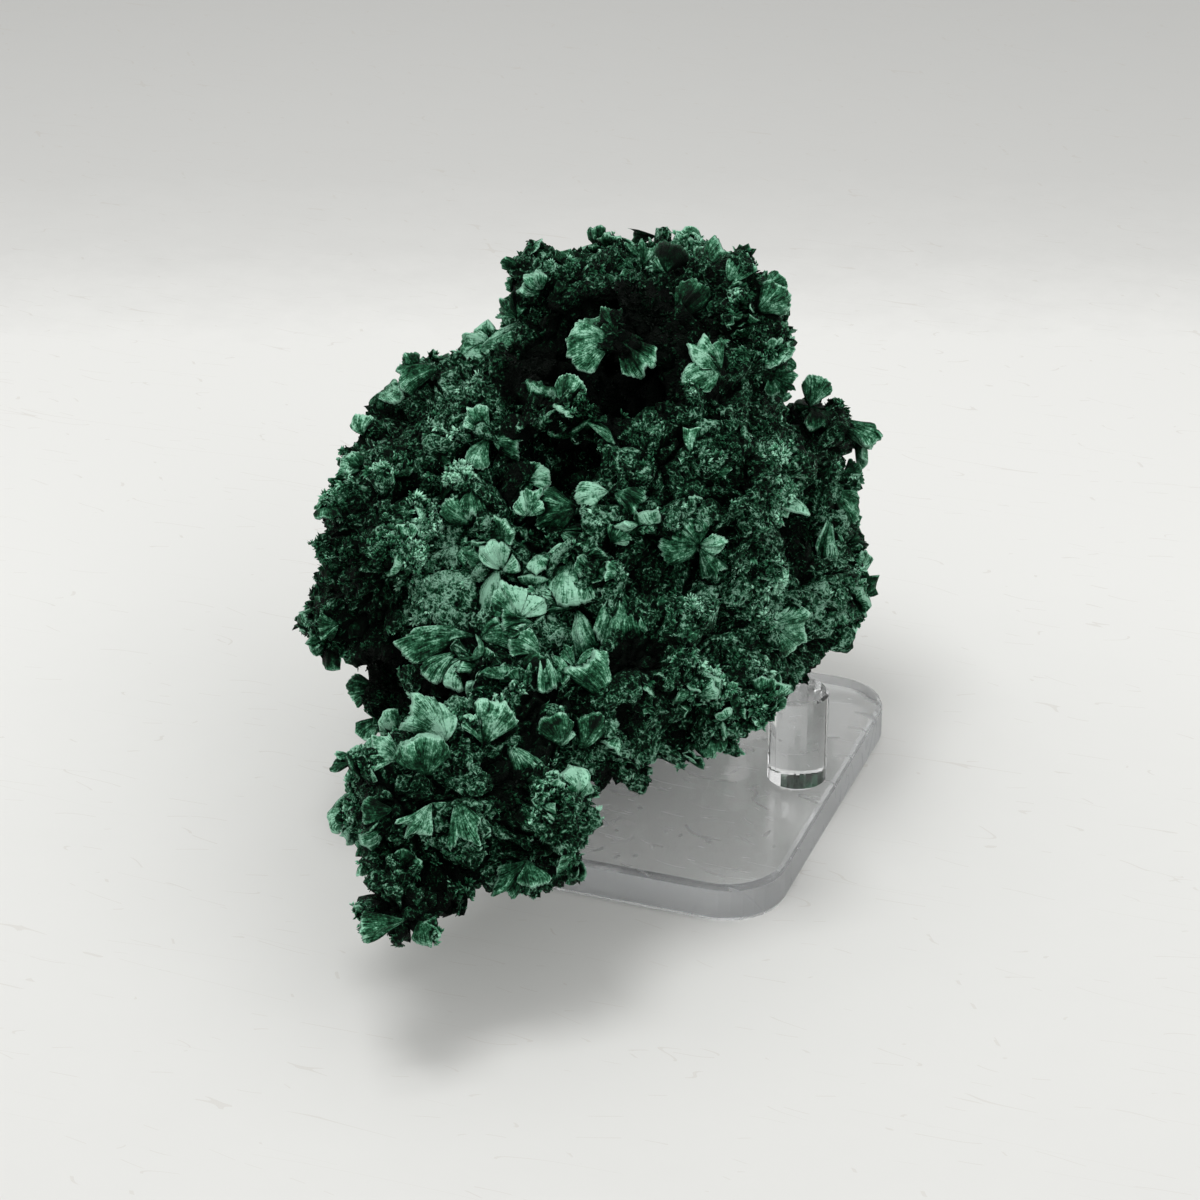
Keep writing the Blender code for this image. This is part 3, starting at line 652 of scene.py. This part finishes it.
def grow_fan(fan, grid, rng):
    """One fan: needles from a node to a ragged, rolled rim, with ridges along them."""
    matrix, radius, spread, thickness, bend = fan
    columns, rows = grid
    t = np.linspace(-1, 1, columns + 1)
    angle = math.radians(spread) * t
    lobes, fold = scalloped(rng, columns, spread)
    edge = radius * (1 - RIM_TAPER * np.abs(t) ** 3) * lobes
    ridge = wander(rng, columns + 1, columns // 2) * FINE_RIDGES
    ridge = ridge + wander(rng, columns + 1, columns // 4)
    rho = (np.arange(1, rows + 1) / rows) ** ROW_SPACING
    grid_rho, grid_t = np.meshgrid(rho, t, indexing="ij")
    reach = grid_rho * edge
    side = reach * np.sin(angle)
    along = reach * np.cos(angle)
    curl, cup, ruffle = bend
    middle = -curl * grid_rho**CURL_POWER + cup * grid_rho * grid_t**2
    middle = (middle - ruffle * fold * grid_rho**FOLD_POWER) * radius
    at_node, growth, thinning, power, rim_least, side_least = FAN_THICKNESS
    roll = np.sqrt(np.clip(1 - grid_rho**RIM_ROLL, rim_least, 1))
    edge_thin = np.sqrt(np.clip(1 - thinning * grid_t**power, side_least, 1))
    swell = thickness / 2 * (at_node + (1 - at_node) * grid_rho**growth) * roll * edge_thin
    ridges = RIDGE_HEIGHT * ridge * grid_rho**RIDGE_POWER
    top = middle + swell + ridges
    bottom = middle - swell - ridges * RIDGES_UNDER
    count = rows * (columns + 1)
    local = np.concatenate([
        [[0, 0, 0]],
        np.stack([side, along, top], -1).reshape(-1, 3),
        np.stack([side, along, bottom], -1).reshape(-1, 3),
    ])
    rotate = np.array(matrix.to_3x3())
    verts = local @ rotate.T + np.array(matrix.translation)
    index = 1 + np.arange(count).reshape(rows, columns + 1)
    under = index + count
    quads = np.concatenate([
        quads_between(index[:-1], index[1:]),
        quads_between(under[:-1], under[1:])[:, FLIPPED],
        quads_between(index[-1], under[-1]),
        quads_between(index[:, 0], under[:, 0]),
        quads_between(index[:, -1], under[:, -1])[:, FLIPPED],
    ])
    zeros = np.zeros(columns, int)
    tris = np.concatenate([
        np.stack([zeros, index[0, 1:], index[0, :-1]], -1),
        np.stack([zeros, under[0, :-1], under[0, 1:]], -1),
        [[0, index[0, 0], under[0, 0]], [0, under[0, -1], index[0, -1]]],
    ])
    seed = rng.uniform(0, 100)
    arc = np.broadcast_to(angle * radius, grid_rho.shape)
    fibre = np.stack([arc, grid_rho * radius, np.full(grid_rho.shape, seed)], -1).reshape(-1, 3)
    fibre = np.concatenate([[[0, 0, seed]], fibre, fibre + np.array(UNDER_SHIFT)])
    share = np.concatenate([[0], grid_rho.reshape(-1), grid_rho.reshape(-1)])
    tone = np.full(len(verts), rng.random())
    return verts, quads, tris, fibre, share, tone


def bent(rng, matrix, radius, spread, thickness):
    """The fan with its own bend."""
    return matrix, radius, spread, thickness, draws(rng, FAN_BENDS)


def hero_fans(skin, rng):
    """The CAD's fans, and the smaller ones that share a node with some of them."""
    fans = [*face_fans(skin), *scattered_fans(skin)]
    fans = [(*place_and_size, thickness * HERO_THINNESS) for *place_and_size, thickness in fans]
    heroes = [bent(rng, *fan) for fan in fans]
    mates = []
    for matrix, radius, spread, thickness in fans * 2:
        if rng.random() < MATES / 2 and not in_zone(matrix.translation, BARE):
            side = rng.choice((-1, 1))
            turn, lean, size = draws(rng, MATE_RANGES)
            turned = matrix @ Matrix.Rotation(side * turn, 4, "Z") @ Matrix.Rotation(lean, 4, "X")
            mate = (turned, radius * size, spread * MATE_SPREAD, thickness * size)
            mates.append(bent(rng, *mate))
    return heroes, mates


class Ground:
    """Tells how far points stand out of the rough skin, and of the smooth lump under it."""

    def __init__(self, skin):
        shape = new_object("lump", fused(face_ellipsoids(LOBES), LUMP_CELL))
        modify(shape, "SMOOTH", iterations=LUMP_SMOOTHING)
        self.skin = skin
        self.lump = search_tree(evaluated(shape))

    def paleness_and_shade(self, points, hollow_shade=HOLLOW_SHADE):
        """How much paler or darker the crystals are there: patches of tone with painted light and
        painted shade, painted shade in the hollows and depths, and painted light on what stands
        out.
        """
        across, up = face_place(points)
        pale_and_shade = np.zeros(len(points))
        for x, y, radius, gain in PALE_AND_SHADE_PATCHES:
            pale_and_shade += gain * np.exp(-((across - x) ** 2 + (up - y) ** 2) / radius**2)
        # Painted shade in and around each hollow
        near, far = HOLLOW_SHADE_EDGE
        for hollow in face_ellipsoids(HOLLOWS):
            inside = np.array(hollow.inverted())
            reach = np.linalg.norm(points @ inside[:3, :3].T + inside[:3, 3], axis=1)
            pale_and_shade += hollow_shade * np.clip((far - reach) / (far - near), 0, 1)
        # Painted light on what stands out of the skin, and painted shade deep under the smooth lump
        pale_and_shade += STAND_LIGHT_GAIN * np.clip(standing(self.skin, points), *STAND_LIGHT_RANGE)
        pale_and_shade += DEEP_SHADE_GAIN * np.clip(standing(self.lump, points) + DEEP_SHADE_FROM, -DEEP_SHADE_RANGE, 0)
        return pale_and_shade


def standing(tree, points):
    """How far each point is outside the surface; points inside it count as negative."""
    heights = np.empty(len(points))
    for index, point in enumerate(points.tolist()):
        foot, normal, _, _ = tree.find_nearest(point)
        heights[index] = (Vector(point) - foot).dot(normal)
    return heights


def sight_lines():
    """Directions spread evenly over a sphere."""
    count = np.arange(SHADE_RAYS) + 0.5
    z = 1 - 2 * count / SHADE_RAYS
    turn = count * math.pi * (3 - math.sqrt(5))
    flat = np.sqrt(1 - z * z)
    return np.stack([flat * np.cos(turn), flat * np.sin(turn), z], -1)


def unshaded_share(tree, points, normals):
    """The share of what each point could see that nothing near covers, which sets its painted light
    and shade. In metres.
    """
    unshaded_values = np.zeros(len(points))
    for line in sight_lines():
        ways = unit(normals + SHADE_WIDTH * line)
        starts = points + normals * SHADE_START
        for index, (start, way) in enumerate(zip(starts.tolist(), ways.tolist())):
            distance = tree.ray_cast(start, way, SHADE_REACH)[3]
            unshaded_values[index] += 1 if distance is None else distance / SHADE_REACH
    return unshaded_values / SHADE_RAYS


def add_painted_shade(pieces):
    """Writes each point's unshaded share, which sets the painted shade in gaps, to every piece, and
    returns the tree it was seen against.
    """
    meshes = [made.data for made in pieces]
    tree = search_tree(*meshes)
    for data in meshes:
        unshaded_values = unshaded_share(tree, read(data.vertices, "co"), read(data.vertex_normals, "vector"))
        add_values(data, "unshaded", unshaded_values)
    return tree


def face_place(points):
    """Where points appear on the display face: across and up."""
    view = points - np.array(EYE)
    scale = FACE_DISTANCE / (view @ np.array(AWAY))
    return (view @ np.array(RIGHT)) * scale, (view @ np.array(UP)) * scale


def cover(values, level, gain, least, most):
    return np.clip(level + gain * values, least, most)


class Surface:
    """The craggy mass as arrays, to pick points on: most where it stands out, few by a fan."""

    def __init__(self, meshes, skin, fans):
        self.centres, self.normals, areas = [
            np.concatenate([read(data.polygons, field, size) for data in meshes])
            for field, size in (("center", 3), ("normal", 3), ("area", 1))
        ]
        clusters = [noise.noise(Vector(centre) / CLUSTER_SIZE) for centre in self.centres.tolist()]
        areas = areas[:, 0] * cover(standing(skin, self.centres), *STAND_SHARE)
        areas *= cover(np.array(clusters), *CLUSTER_SHARE)
        for matrix, radius, *_ in fans:
            middle = np.array(matrix @ Vector((0, radius * FAN_MIDDLE, 0)))
            near = np.linalg.norm(self.centres - middle, axis=1) < radius * FAN_CLEARANCE
            areas[near] *= FAN_COVER
        across, up = face_place(self.centres)
        for zones, gain in ((MOSSY, MOSSY_GAIN), (SMOOTH, SMOOTH_COVER), (PEG_VIEW, 0)):
            for x, y, radius in zones:
                areas[np.hypot(across - x, up - y) < radius] *= gain
        self.share = areas / areas.sum()

    def pick(self, rng, count):
        """Random points and normals."""
        chosen = rng.choice(len(self.share), size=count, p=self.share)
        return self.centres[chosen], self.normals[chosen]


def unit(vectors):
    return vectors / np.linalg.norm(vectors, axis=-1, keepdims=True)


def in_zone(place, zones):
    """Whether a point appears within one of those circles of the display face."""
    across, up = face_place(np.array([place]))
    return any(math.hypot(across[0] - x, up[0] - y) < radius for x, y, radius in zones)


def leaflets(surface, count, radii, seed):
    """Small fans between the large ones, facing every way."""
    picker = np.random.default_rng(seed)
    rng = random.Random(seed)
    hollows = [matrix.inverted() for matrix in face_ellipsoids(HOLLOWS)]
    points, normals = surface.pick(picker, count)
    for place, normal in zip(points, normals):
        place, normal = Vector(place), Vector(normal)
        hollow = any((matrix @ place).length < HOLLOW_MARGIN for matrix in hollows)
        if hollow or place.z < LEAFLET_FLOOR:
            continue
        if in_zone(place, BARE) or in_zone(place, MOSSY) and rng.random() > MOSSY_SHARE:
            continue
        along = rolled(normal, rng.uniform(0, 2 * math.pi))
        radius = radii[0] + (radii[1] - radii[0]) * rng.random() ** LEAFLET_SIZES
        stand, spread, thick = draws(rng, LEAFLET_RANGES)
        matrix = fan_matrix(place - normal * radius * LEAFLET_SINK, normal, along, stand)
        yield bent(rng, matrix, radius, spread, radius * thick)


def tufts(surface, seed, count):
    """Needle tufts: flat sprays of tapering leaves, each leaf a closed four-sided sliver."""
    rng = np.random.default_rng(seed)
    points, normals = surface.pick(rng, count)
    flat = rng.normal(size=(count, 3))
    flat = unit(flat - normals * (flat * normals).sum(1, keepdims=True))
    heading = unit(flat + normals * rng.uniform(*TUFT_RISE, (count, 1)))
    side = unit(np.cross(heading, unit(rng.normal(size=(count, 3)))))
    out = np.cross(heading, side)
    least, sizes, power = TUFT_SIZES
    size = TUFT_LENGTH * (least + sizes * rng.random(count) ** power)
    along, outward, off = LEAF_MIDDLE
    tone = rng.random(count)
    verts = np.zeros((count, LEAVES, 4, 3))
    for leaf in range(LEAVES):
        fan = (leaf / (LEAVES - 1) - 0.5) * 2 * TUFT_SPREAD + rng.normal(0, LEAF_JITTER, count)
        lean = rng.normal(0, LEAF_LEAN, count)
        fan, lean = fan[:, None], lean[:, None]
        aim = unit(heading * np.cos(fan) + side * np.sin(fan) + out * lean)
        across = unit(np.cross(aim, out))
        length = (size * rng.uniform(*LEAF_LENGTHS, count))[:, None]
        width = length * LEAF_WIDTH
        root = points - normals * TUFT_ROOT
        middle = root + aim * length * along + out * width * outward + normals * length * off
        verts[:, leaf, 0] = root
        verts[:, leaf, 1] = middle + across * width
        verts[:, leaf, 2] = middle - across * width
        verts[:, leaf, 3] = root + aim * length
    total = count * LEAVES
    base = (np.arange(total) * 4)[:, None, None]
    pattern = np.array([[0, 1, 2], [1, 3, 2], [0, 3, 1], [0, 2, 3]])
    faces = (base + pattern).reshape(-1, 3)
    reach = np.tile([0.0, along, along, 1.0], total)
    tone = np.repeat(tone, LEAVES * 4)
    return verts.reshape(-1, 3), faces, reach, tone, points, normals


# Materials

class Nodes:
    """A short way to lay out a material's nodes."""

    def __init__(self, name):
        self.material = bpy.data.materials.new(name)
        self.material.use_nodes = True
        self.tree = self.material.node_tree
        self.shader = self.tree.nodes["Principled BSDF"]

    def node(self, kind, **settings):
        return put(self.tree.nodes.new(kind), **settings)

    def fill(self, made, values):
        """Sets a node's inputs: to a value, or to what another node gives."""
        for key, value in values.items():
            if isinstance(value, bpy.types.NodeSocket):
                self.tree.links.new(value, made.inputs[key])
            else:
                made.inputs[key].default_value = value
        return made

    def attribute(self, name, output="Fac"):
        return self.node("ShaderNodeAttribute", attribute_name=name).outputs[output]

    def maths(self, operation, *values, clamp=False):
        made = self.node("ShaderNodeMath", operation=operation, use_clamp=clamp)
        return self.fill(made, dict(enumerate(values))).outputs[0]

    def mapping(self, vector, **settings):
        made = self.fill(self.node("ShaderNodeMapping"), {"Vector": vector, **settings})
        return made.outputs[0]

    def noise(self, vector, scale, detail, roughness=0.5):
        values = {"Vector": vector, "Scale": scale, "Detail": detail, "Roughness": roughness}
        return self.fill(self.node("ShaderNodeTexNoise"), values).outputs["Fac"]

    def ramp(self, value, stops):
        made = self.node("ShaderNodeValToRGB")
        elements = made.color_ramp.elements
        while len(elements) < len(stops):
            elements.new(0.5)
        for element, (place, colour) in zip(elements, stops):
            element.position = place
            element.color = (*colour, 1)
        return self.fill(made, {"Fac": value}).outputs["Color"]

    def bump(self, height, strength, distance):
        values = {"Height": height, "Strength": strength, "Distance": distance}
        made = self.fill(self.node("ShaderNodeBump"), values)
        self.fill(self.shader, {"Normal": made.outputs[0]})

    def finish(self, colour, roughness, others):
        """The material, with those values on its shader."""
        self.fill(self.shader, {"Base Color": colour, "Roughness": roughness, **others})
        return self.material

    def position(self):
        return self.node("ShaderNodeTexCoord").outputs["Object"]

    def swing(self, field, gain, value):
        """Adds a noise field's swing about its middle to a value."""
        return self.maths("MULTIPLY_ADD", self.maths("SUBTRACT", field, 0.5), gain, value)

    def swung(self, value, vector, *noise_and_gain):
        """The same with a new noise field: its scale, detail and roughness, then its gain."""
        *kind, gain = noise_and_gain
        return self.swing(self.noise(vector, *kind), gain, value)

    def place_tone_and_shade(self, value):
        """Adds what the place does to the green: paler and darker patches with painted light and
        shade, and painted shade in narrow gaps.
        """
        value = self.maths("ADD", self.attribute("pale_and_shade"), value)
        value = self.swung(value, self.position(), *BROAD_PATCHES)
        # Painted shade in narrow gaps, and painted light in the open
        unshaded_values = self.maths("MINIMUM", self.attribute("unshaded"), SHADE_MOST)
        unshaded_values = self.maths("SUBTRACT", unshaded_values, SHADE_MIDDLE)
        return self.maths("MULTIPLY_ADD", unshaded_values, SHADE_GAIN, value, clamp=True)

    def worms(self, vector, scale, sharpness):
        """A net of thin curling lines, 1 on the lines and 0 between them."""
        field = self.noise(vector, scale, *WORM_NOISE)
        away = self.maths("ABSOLUTE", self.maths("SUBTRACT", field, 0.5))
        return self.maths("MULTIPLY_ADD", away, -sharpness, 1.0, clamp=True)


def green(nodes, value, roughness):
    """The stone's green at that tone, with a silky shine."""
    colour = nodes.ramp(nodes.place_tone_and_shade(value), GREENS)
    return nodes.finish(colour, roughness, {"Specular IOR Level": SILK_SPECULAR})


def fan_material():
    """Streaks along the needles, darker at the node and paler at the rim with a painted highlight
    on the rim line, under speckle.
    """
    nodes = Nodes("malachite_fans")
    fibre = nodes.attribute("fibre", "Vector")
    place = nodes.position()
    fields = [nodes.noise(nodes.mapping(fibre, Scale=row[0]), 1.0, *row[1:3]) for row in STREAKS]
    fields += [nodes.noise(place, *row[:3]) for row in SPECKS]
    value = FAN_LEVEL
    for field, (*_, gain) in zip(fields, STREAKS + SPECKS):
        value = nodes.swing(field, gain, value)
    reach = nodes.attribute("reach")
    # The first band is a painted highlight along the rim, the second a slight darkening
    for power, gain in RIM_TONES_AND_HIGHLIGHT:
        value = nodes.maths("MULTIPLY_ADD", nodes.maths("POWER", reach, power), gain, value)
    value = nodes.swing(nodes.attribute("tone"), FAN_VARIETY, value)
    nodes.bump(nodes.maths("MULTIPLY_ADD", fields[-1], CRUST_BUMP, fields[0]), *FAN_BUMP)
    return green(nodes, value, FAN_ROUGHNESS)


def moss_material():
    """Each tuft its own green, with pale needle tips."""
    nodes = Nodes("malachite_moss")
    power, gain = TIP_TONE
    value = nodes.maths("MULTIPLY_ADD", nodes.attribute("tone"), MOSS_VARIETY, MOSS_LEVEL)
    tips = nodes.maths("POWER", nodes.attribute("reach"), power)
    value = nodes.maths("MULTIPLY_ADD", tips, gain, value)
    return green(nodes, nodes.swung(value, nodes.position(), *PATCHES), MOSS_ROUGHNESS)


def mass_material():
    """The felted mass under the tufts: dark, with crumbs, speckle and a net of paler fibres."""
    nodes = Nodes("malachite_mass")
    place = nodes.position()
    scales, sharpness, gain, level = FELT_NET
    net = nodes.maths("ADD", *[nodes.worms(place, scale, sharpness) for scale in scales])
    felt = nodes.maths("MULTIPLY_ADD", net, gain, level)
    for row in FELT:
        felt = nodes.swung(felt, place, *row)
    value = nodes.swung(nodes.maths("ADD", felt, MASS_LEVEL), place, *PATCHES)
    nodes.bump(felt, *MASS_BUMP)
    return green(nodes, value, MASS_ROUGHNESS)


def hairlines(nodes, place, kinds):
    """Fine curved scratches in clusters, 1 on a scratch and 0 off it."""
    scratch = 0.0
    for turn, stretch, scale in kinds:
        mapped = nodes.mapping(place, Rotation=(0, 0, turn), Scale=(1, stretch, 1))
        field = nodes.noise(mapped, scale, 0.0)
        away = nodes.maths("ABSOLUTE", nodes.maths("SUBTRACT", field, 0.5))
        line = nodes.maths("LESS_THAN", away, SCRATCH_WIDTH * scale)
        broken = nodes.noise(mapped, scale * SCRATCH_BREAKS, 1.0)
        gate = nodes.maths("GREATER_THAN", broken, SCRATCH_GATE)
        scratch = nodes.maths("MAXIMUM", nodes.maths("MULTIPLY", line, gate), scratch)
    return scratch


def acrylic_material(name, clearness, edge_colour, edge_roughness, scratches):
    """Clear acrylic: worn faces with hairline scratches, and edges polished less or more."""
    nodes = Nodes(name)
    place = nodes.position()
    split = nodes.node("ShaderNodeSeparateXYZ")
    nodes.fill(split, {0: nodes.node("ShaderNodeNewGeometry").outputs["True Normal"]})
    slope = nodes.maths("ABSOLUTE", split.outputs["Z"])
    edge = nodes.maths("LESS_THAN", slope, BEVEL_SLOPE)
    sawn = nodes.maths("LESS_THAN", slope, SAWN_SLOPE)
    colour = nodes.ramp(edge, ((0.0, CLEAR), (1.0, edge_colour)))
    rough = nodes.maths("MULTIPLY", nodes.noise(place, *WEAR_NOISE), WEAR)
    rough = nodes.maths("MULTIPLY_ADD", sawn, edge_roughness, rough, clamp=True)
    if scratches:
        lines = hairlines(nodes, place, scratches)
        rough = nodes.maths("MULTIPLY_ADD", lines, SCRATCH_ROUGHNESS, rough, clamp=True)
        nodes.bump(lines, 1.0, SCRATCH_DEPTH)
    return nodes.finish(colour, rough, {"Transmission Weight": clearness, "IOR": ACRYLIC_IOR})


def floor_material():
    """A pale table top with painted light falloff, greyer behind, and faint scuffs."""
    nodes = Nodes("table")
    place = nodes.position()
    behind = nodes.node("ShaderNodeVectorMath", operation="DOT_PRODUCT")
    behind = nodes.fill(behind, {0: place, 1: BACK}).outputs["Value"]
    near, far = FLOOR_LIGHT_FALLOFF[0][0], FLOOR_LIGHT_FALLOFF[-1][0]
    values = {"Value": behind, "From Min": near, "From Max": far}
    share = nodes.fill(nodes.node("ShaderNodeMapRange"), values)
    stops = [
        ((depth - near) / (far - near), [grey * tint for tint in FLOOR_TINT])
        for depth, grey in FLOOR_LIGHT_FALLOFF
    ]
    value = nodes.swung(share.outputs[0], place, *FLOOR_MOTTLE)
    marks = nodes.maths("MULTIPLY", hairlines(nodes, place, SCUFFS), FLOOR_MARK)
    values = {"Factor": marks, "A": nodes.ramp(value, stops), "B": (*FLOOR_MARK_COLOUR, 1)}
    worn = nodes.fill(nodes.node("ShaderNodeMix", data_type="RGBA"), values).outputs["Result"]
    return nodes.finish(worn, FLOOR_ROUGHNESS, {"Specular IOR Level": FLOOR_SPECULAR})


# The pieces

def warped(place, size, scale, gain):
    """The place in units of that size, shaken by noise of that scale and gain."""
    return place / size + noise.noise_vector(place / size * scale) * gain


def relief(place):
    """Clumps at each size stand at their own heights, with crevices between and crests on them."""
    height = MASS_SHIFT
    for size, step, depth in CRAGS:
        (near, next_near, _, _), feet = noise.voronoi(warped(place, size, *CRAG_WARP))
        wall = min(1.0, (next_near - near) / CREVICE_WIDTH)
        height += step * (noise.cell(feet[0] * CRAG_SPREAD) - 0.5) * 2 - depth * (1 - wall)
    for size, rise in CRESTS:
        crest = noise.ridged_multi_fractal(warped(place, size, *CREST_WARP), *CREST_NOISE)
        height += rise * (crest - CREST_LEVEL)
    return height


def craggy_mass(skin_data):
    """The skin with fine faces, broken into crags and crumbs. In millimetres."""
    shape = new_object("fine", skin_data.copy())
    remesh(shape, MASS_CELL)
    data = evaluated(shape)
    normals = [vert.normal.copy() for vert in data.vertices]
    for vert, normal in zip(data.vertices, normals):
        vert.co += normal * relief(vert.co)
    shape = new_object("fine", data)
    triangles = sum(len(face.vertices) - 2 for face in data.polygons)
    modify(shape, "DECIMATE", ratio=MASS_TRIANGLES / triangles)
    return evaluated(shape)


def crystal_blocks(skin):
    """The block-like crystals, with uneven faces."""
    mesh = bmesh.new()
    for block in BLOCKS:
        add_block(mesh, skin, *block)
    bmesh.ops.subdivide_edges(mesh, edges=mesh.edges[:], cuts=BLOCK_CUTS, use_grid_fill=True)
    bmesh.ops.triangulate(mesh, faces=mesh.faces[:])
    mesh.faces.sort(key=lambda face: face.calc_center_median().dot(FACE_ORDER))
    for vert in mesh.verts:
        for size, height in BLOCK_WAVES:
            vert.co += noise.noise_vector(vert.co / size) * height
    return evaluated(new_object("blocks", mesh))


def make_mass(name, data, ground):
    add_values(data, "pale_and_shade", ground.paleness_and_shade(read(data.vertices, "co")))
    data.transform(Matrix.Scale(MM, 4))
    data.shade_smooth()
    set_material(data, mass_material())
    return as_piece(new_object(name, data))


def make_fans(material, ground, name, fans, grid, seed, hollow_shade):
    """Many fans as one piece, crumpled a little as a whole, and toned, with painted light and
    shade, by where their points are.
    """
    rng = random.Random(seed)
    verts, quads, tris, fibre, reach, tone = zip(*[grow_fan(fan, grid, rng) for fan in fans])
    starts = np.cumsum([0, *map(len, verts)])
    faces = [
        np.concatenate([part + start for part, start in zip(parts, starts)])
        for parts in (quads, tris)
    ]
    verts, fibre, reach, tone = map(np.concatenate, (verts, fibre, reach, tone))
    moves = [noise.noise_vector(Vector(vert) / CRUMPLE_SIZE) for vert in verts]
    verts += CRUMPLE * np.array(moves)
    pale_and_shade = ground.paleness_and_shade(verts, hollow_shade)
    values = {"fibre": fibre, "reach": reach, "tone": tone, "pale_and_shade": pale_and_shade}
    made = as_piece(write_mesh(name, verts, faces, values, material))
    made.data.shade_smooth()
    return made


def make_moss(surface, ground, tree):
    material = moss_material()
    for index in range(MOSS_PIECES):
        verts, faces, reach, tone, points, normals = tufts(surface, MOSS_SEED + index, TUFTS_EACH)
        pale_and_shade = np.repeat(ground.paleness_and_shade(points), LEAVES * 4)
        # Painted shade: how open the middle of each tuft is
        unshaded_values = unshaded_share(tree, (points + normals * TUFT_LENGTH / 2) * MM, normals)
        unshaded_values = np.repeat(unshaded_values, LEAVES * 4)
        values = {"reach": reach, "tone": tone, "pale_and_shade": pale_and_shade, "unshaded": unshaded_values}
        as_piece(write_mesh(f"malachite_moss_{index + 1}", verts, [faces], values, material))


def make_malachite():
    skin_data = rough_skin()
    skin = search_tree(skin_data)
    ground = Ground(skin)
    mass = craggy_mass(skin_data)
    material = fan_material()
    heroes, mates = hero_fans(skin, random.Random(HERO_SEED))
    blocks = crystal_blocks(skin)
    surface = Surface((mass, blocks), skin, heroes)
    made = [
        ("malachite_fans", heroes, HERO_GRID, HERO_SEED, HERO_HOLLOW_SHADE),
        ("malachite_mated_fans", mates, MATE_GRID, HERO_SEED + 1, HOLLOW_SHADE),
    ]
    for name, count, grid, radii, seed in LEAFLETS:
        made.append((name, leaflets(surface, count, radii, seed), grid, seed, HOLLOW_SHADE))
    pieces = [make_fans(material, ground, *fans) for fans in made]
    pieces.append(make_mass("malachite_blocks", blocks, ground))
    blocks.set_sharp_from_angle(angle=BLOCK_SHARP)
    pieces.append(make_mass("malachite_mass", mass, ground))
    tree = add_painted_shade(pieces)
    make_moss(surface, ground, tree)


def make_stage():
    mesh = bmesh.new()
    bmesh.ops.create_grid(mesh, x_segments=2, y_segments=2, size=FLOOR_SIZE)
    floor = new_object("table_top", mesh)
    floor.location.z = -FLOOR_GAP
    floor.data.materials.append(floor_material())


def make_lights():
    world = bpy.data.worlds.new("studio")
    bpy.context.scene.world = world
    world.use_nodes = True
    background = world.node_tree.nodes["Background"].inputs
    background["Color"].default_value = WORLD_COLOUR
    background["Strength"].default_value = WORLD_STRENGTH
    bpy.context.scene.view_settings.view_transform = "Standard"
    for name, (right, back, height), size, watts in LIGHTS:
        lamp = bpy.data.lights.new(name, "AREA")
        put(lamp, shape="SQUARE", size=size, energy=watts)
        made = new_object(name, lamp)
        made.location = RIGHT * right + BACK * back + Vector((0, 0, height))
        made.rotation_euler = (LIGHTS_AIM - made.location).to_track_quat("-Z", "Y").to_euler()


def make_camera():
    lens = bpy.data.cameras.new("camera")
    put(lens, sensor_width=SENSOR, lens=LENS, clip_start=CLIP_START)
    made = new_object("camera", lens)
    made.matrix_world = axes_at(EYE * MM, RIGHT, UP, -AWAY)
    bpy.context.scene.camera = made


def main():
    make_camera()
    make_lights()
    make_stage()
    plate = acrylic_material("plate_acrylic", PLATE_CLEARNESS, SAWN, SAWN_ROUGHNESS, SCRATCHES)
    peg = acrylic_material("peg_acrylic", 1.0, CLEAR, 0.0, ())
    for name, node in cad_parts.items():
        if name != "malachite":
            set_material(node.data, plate if name == "base_plate" else peg)
            node.visible_shadow = False
    make_malachite()


main()
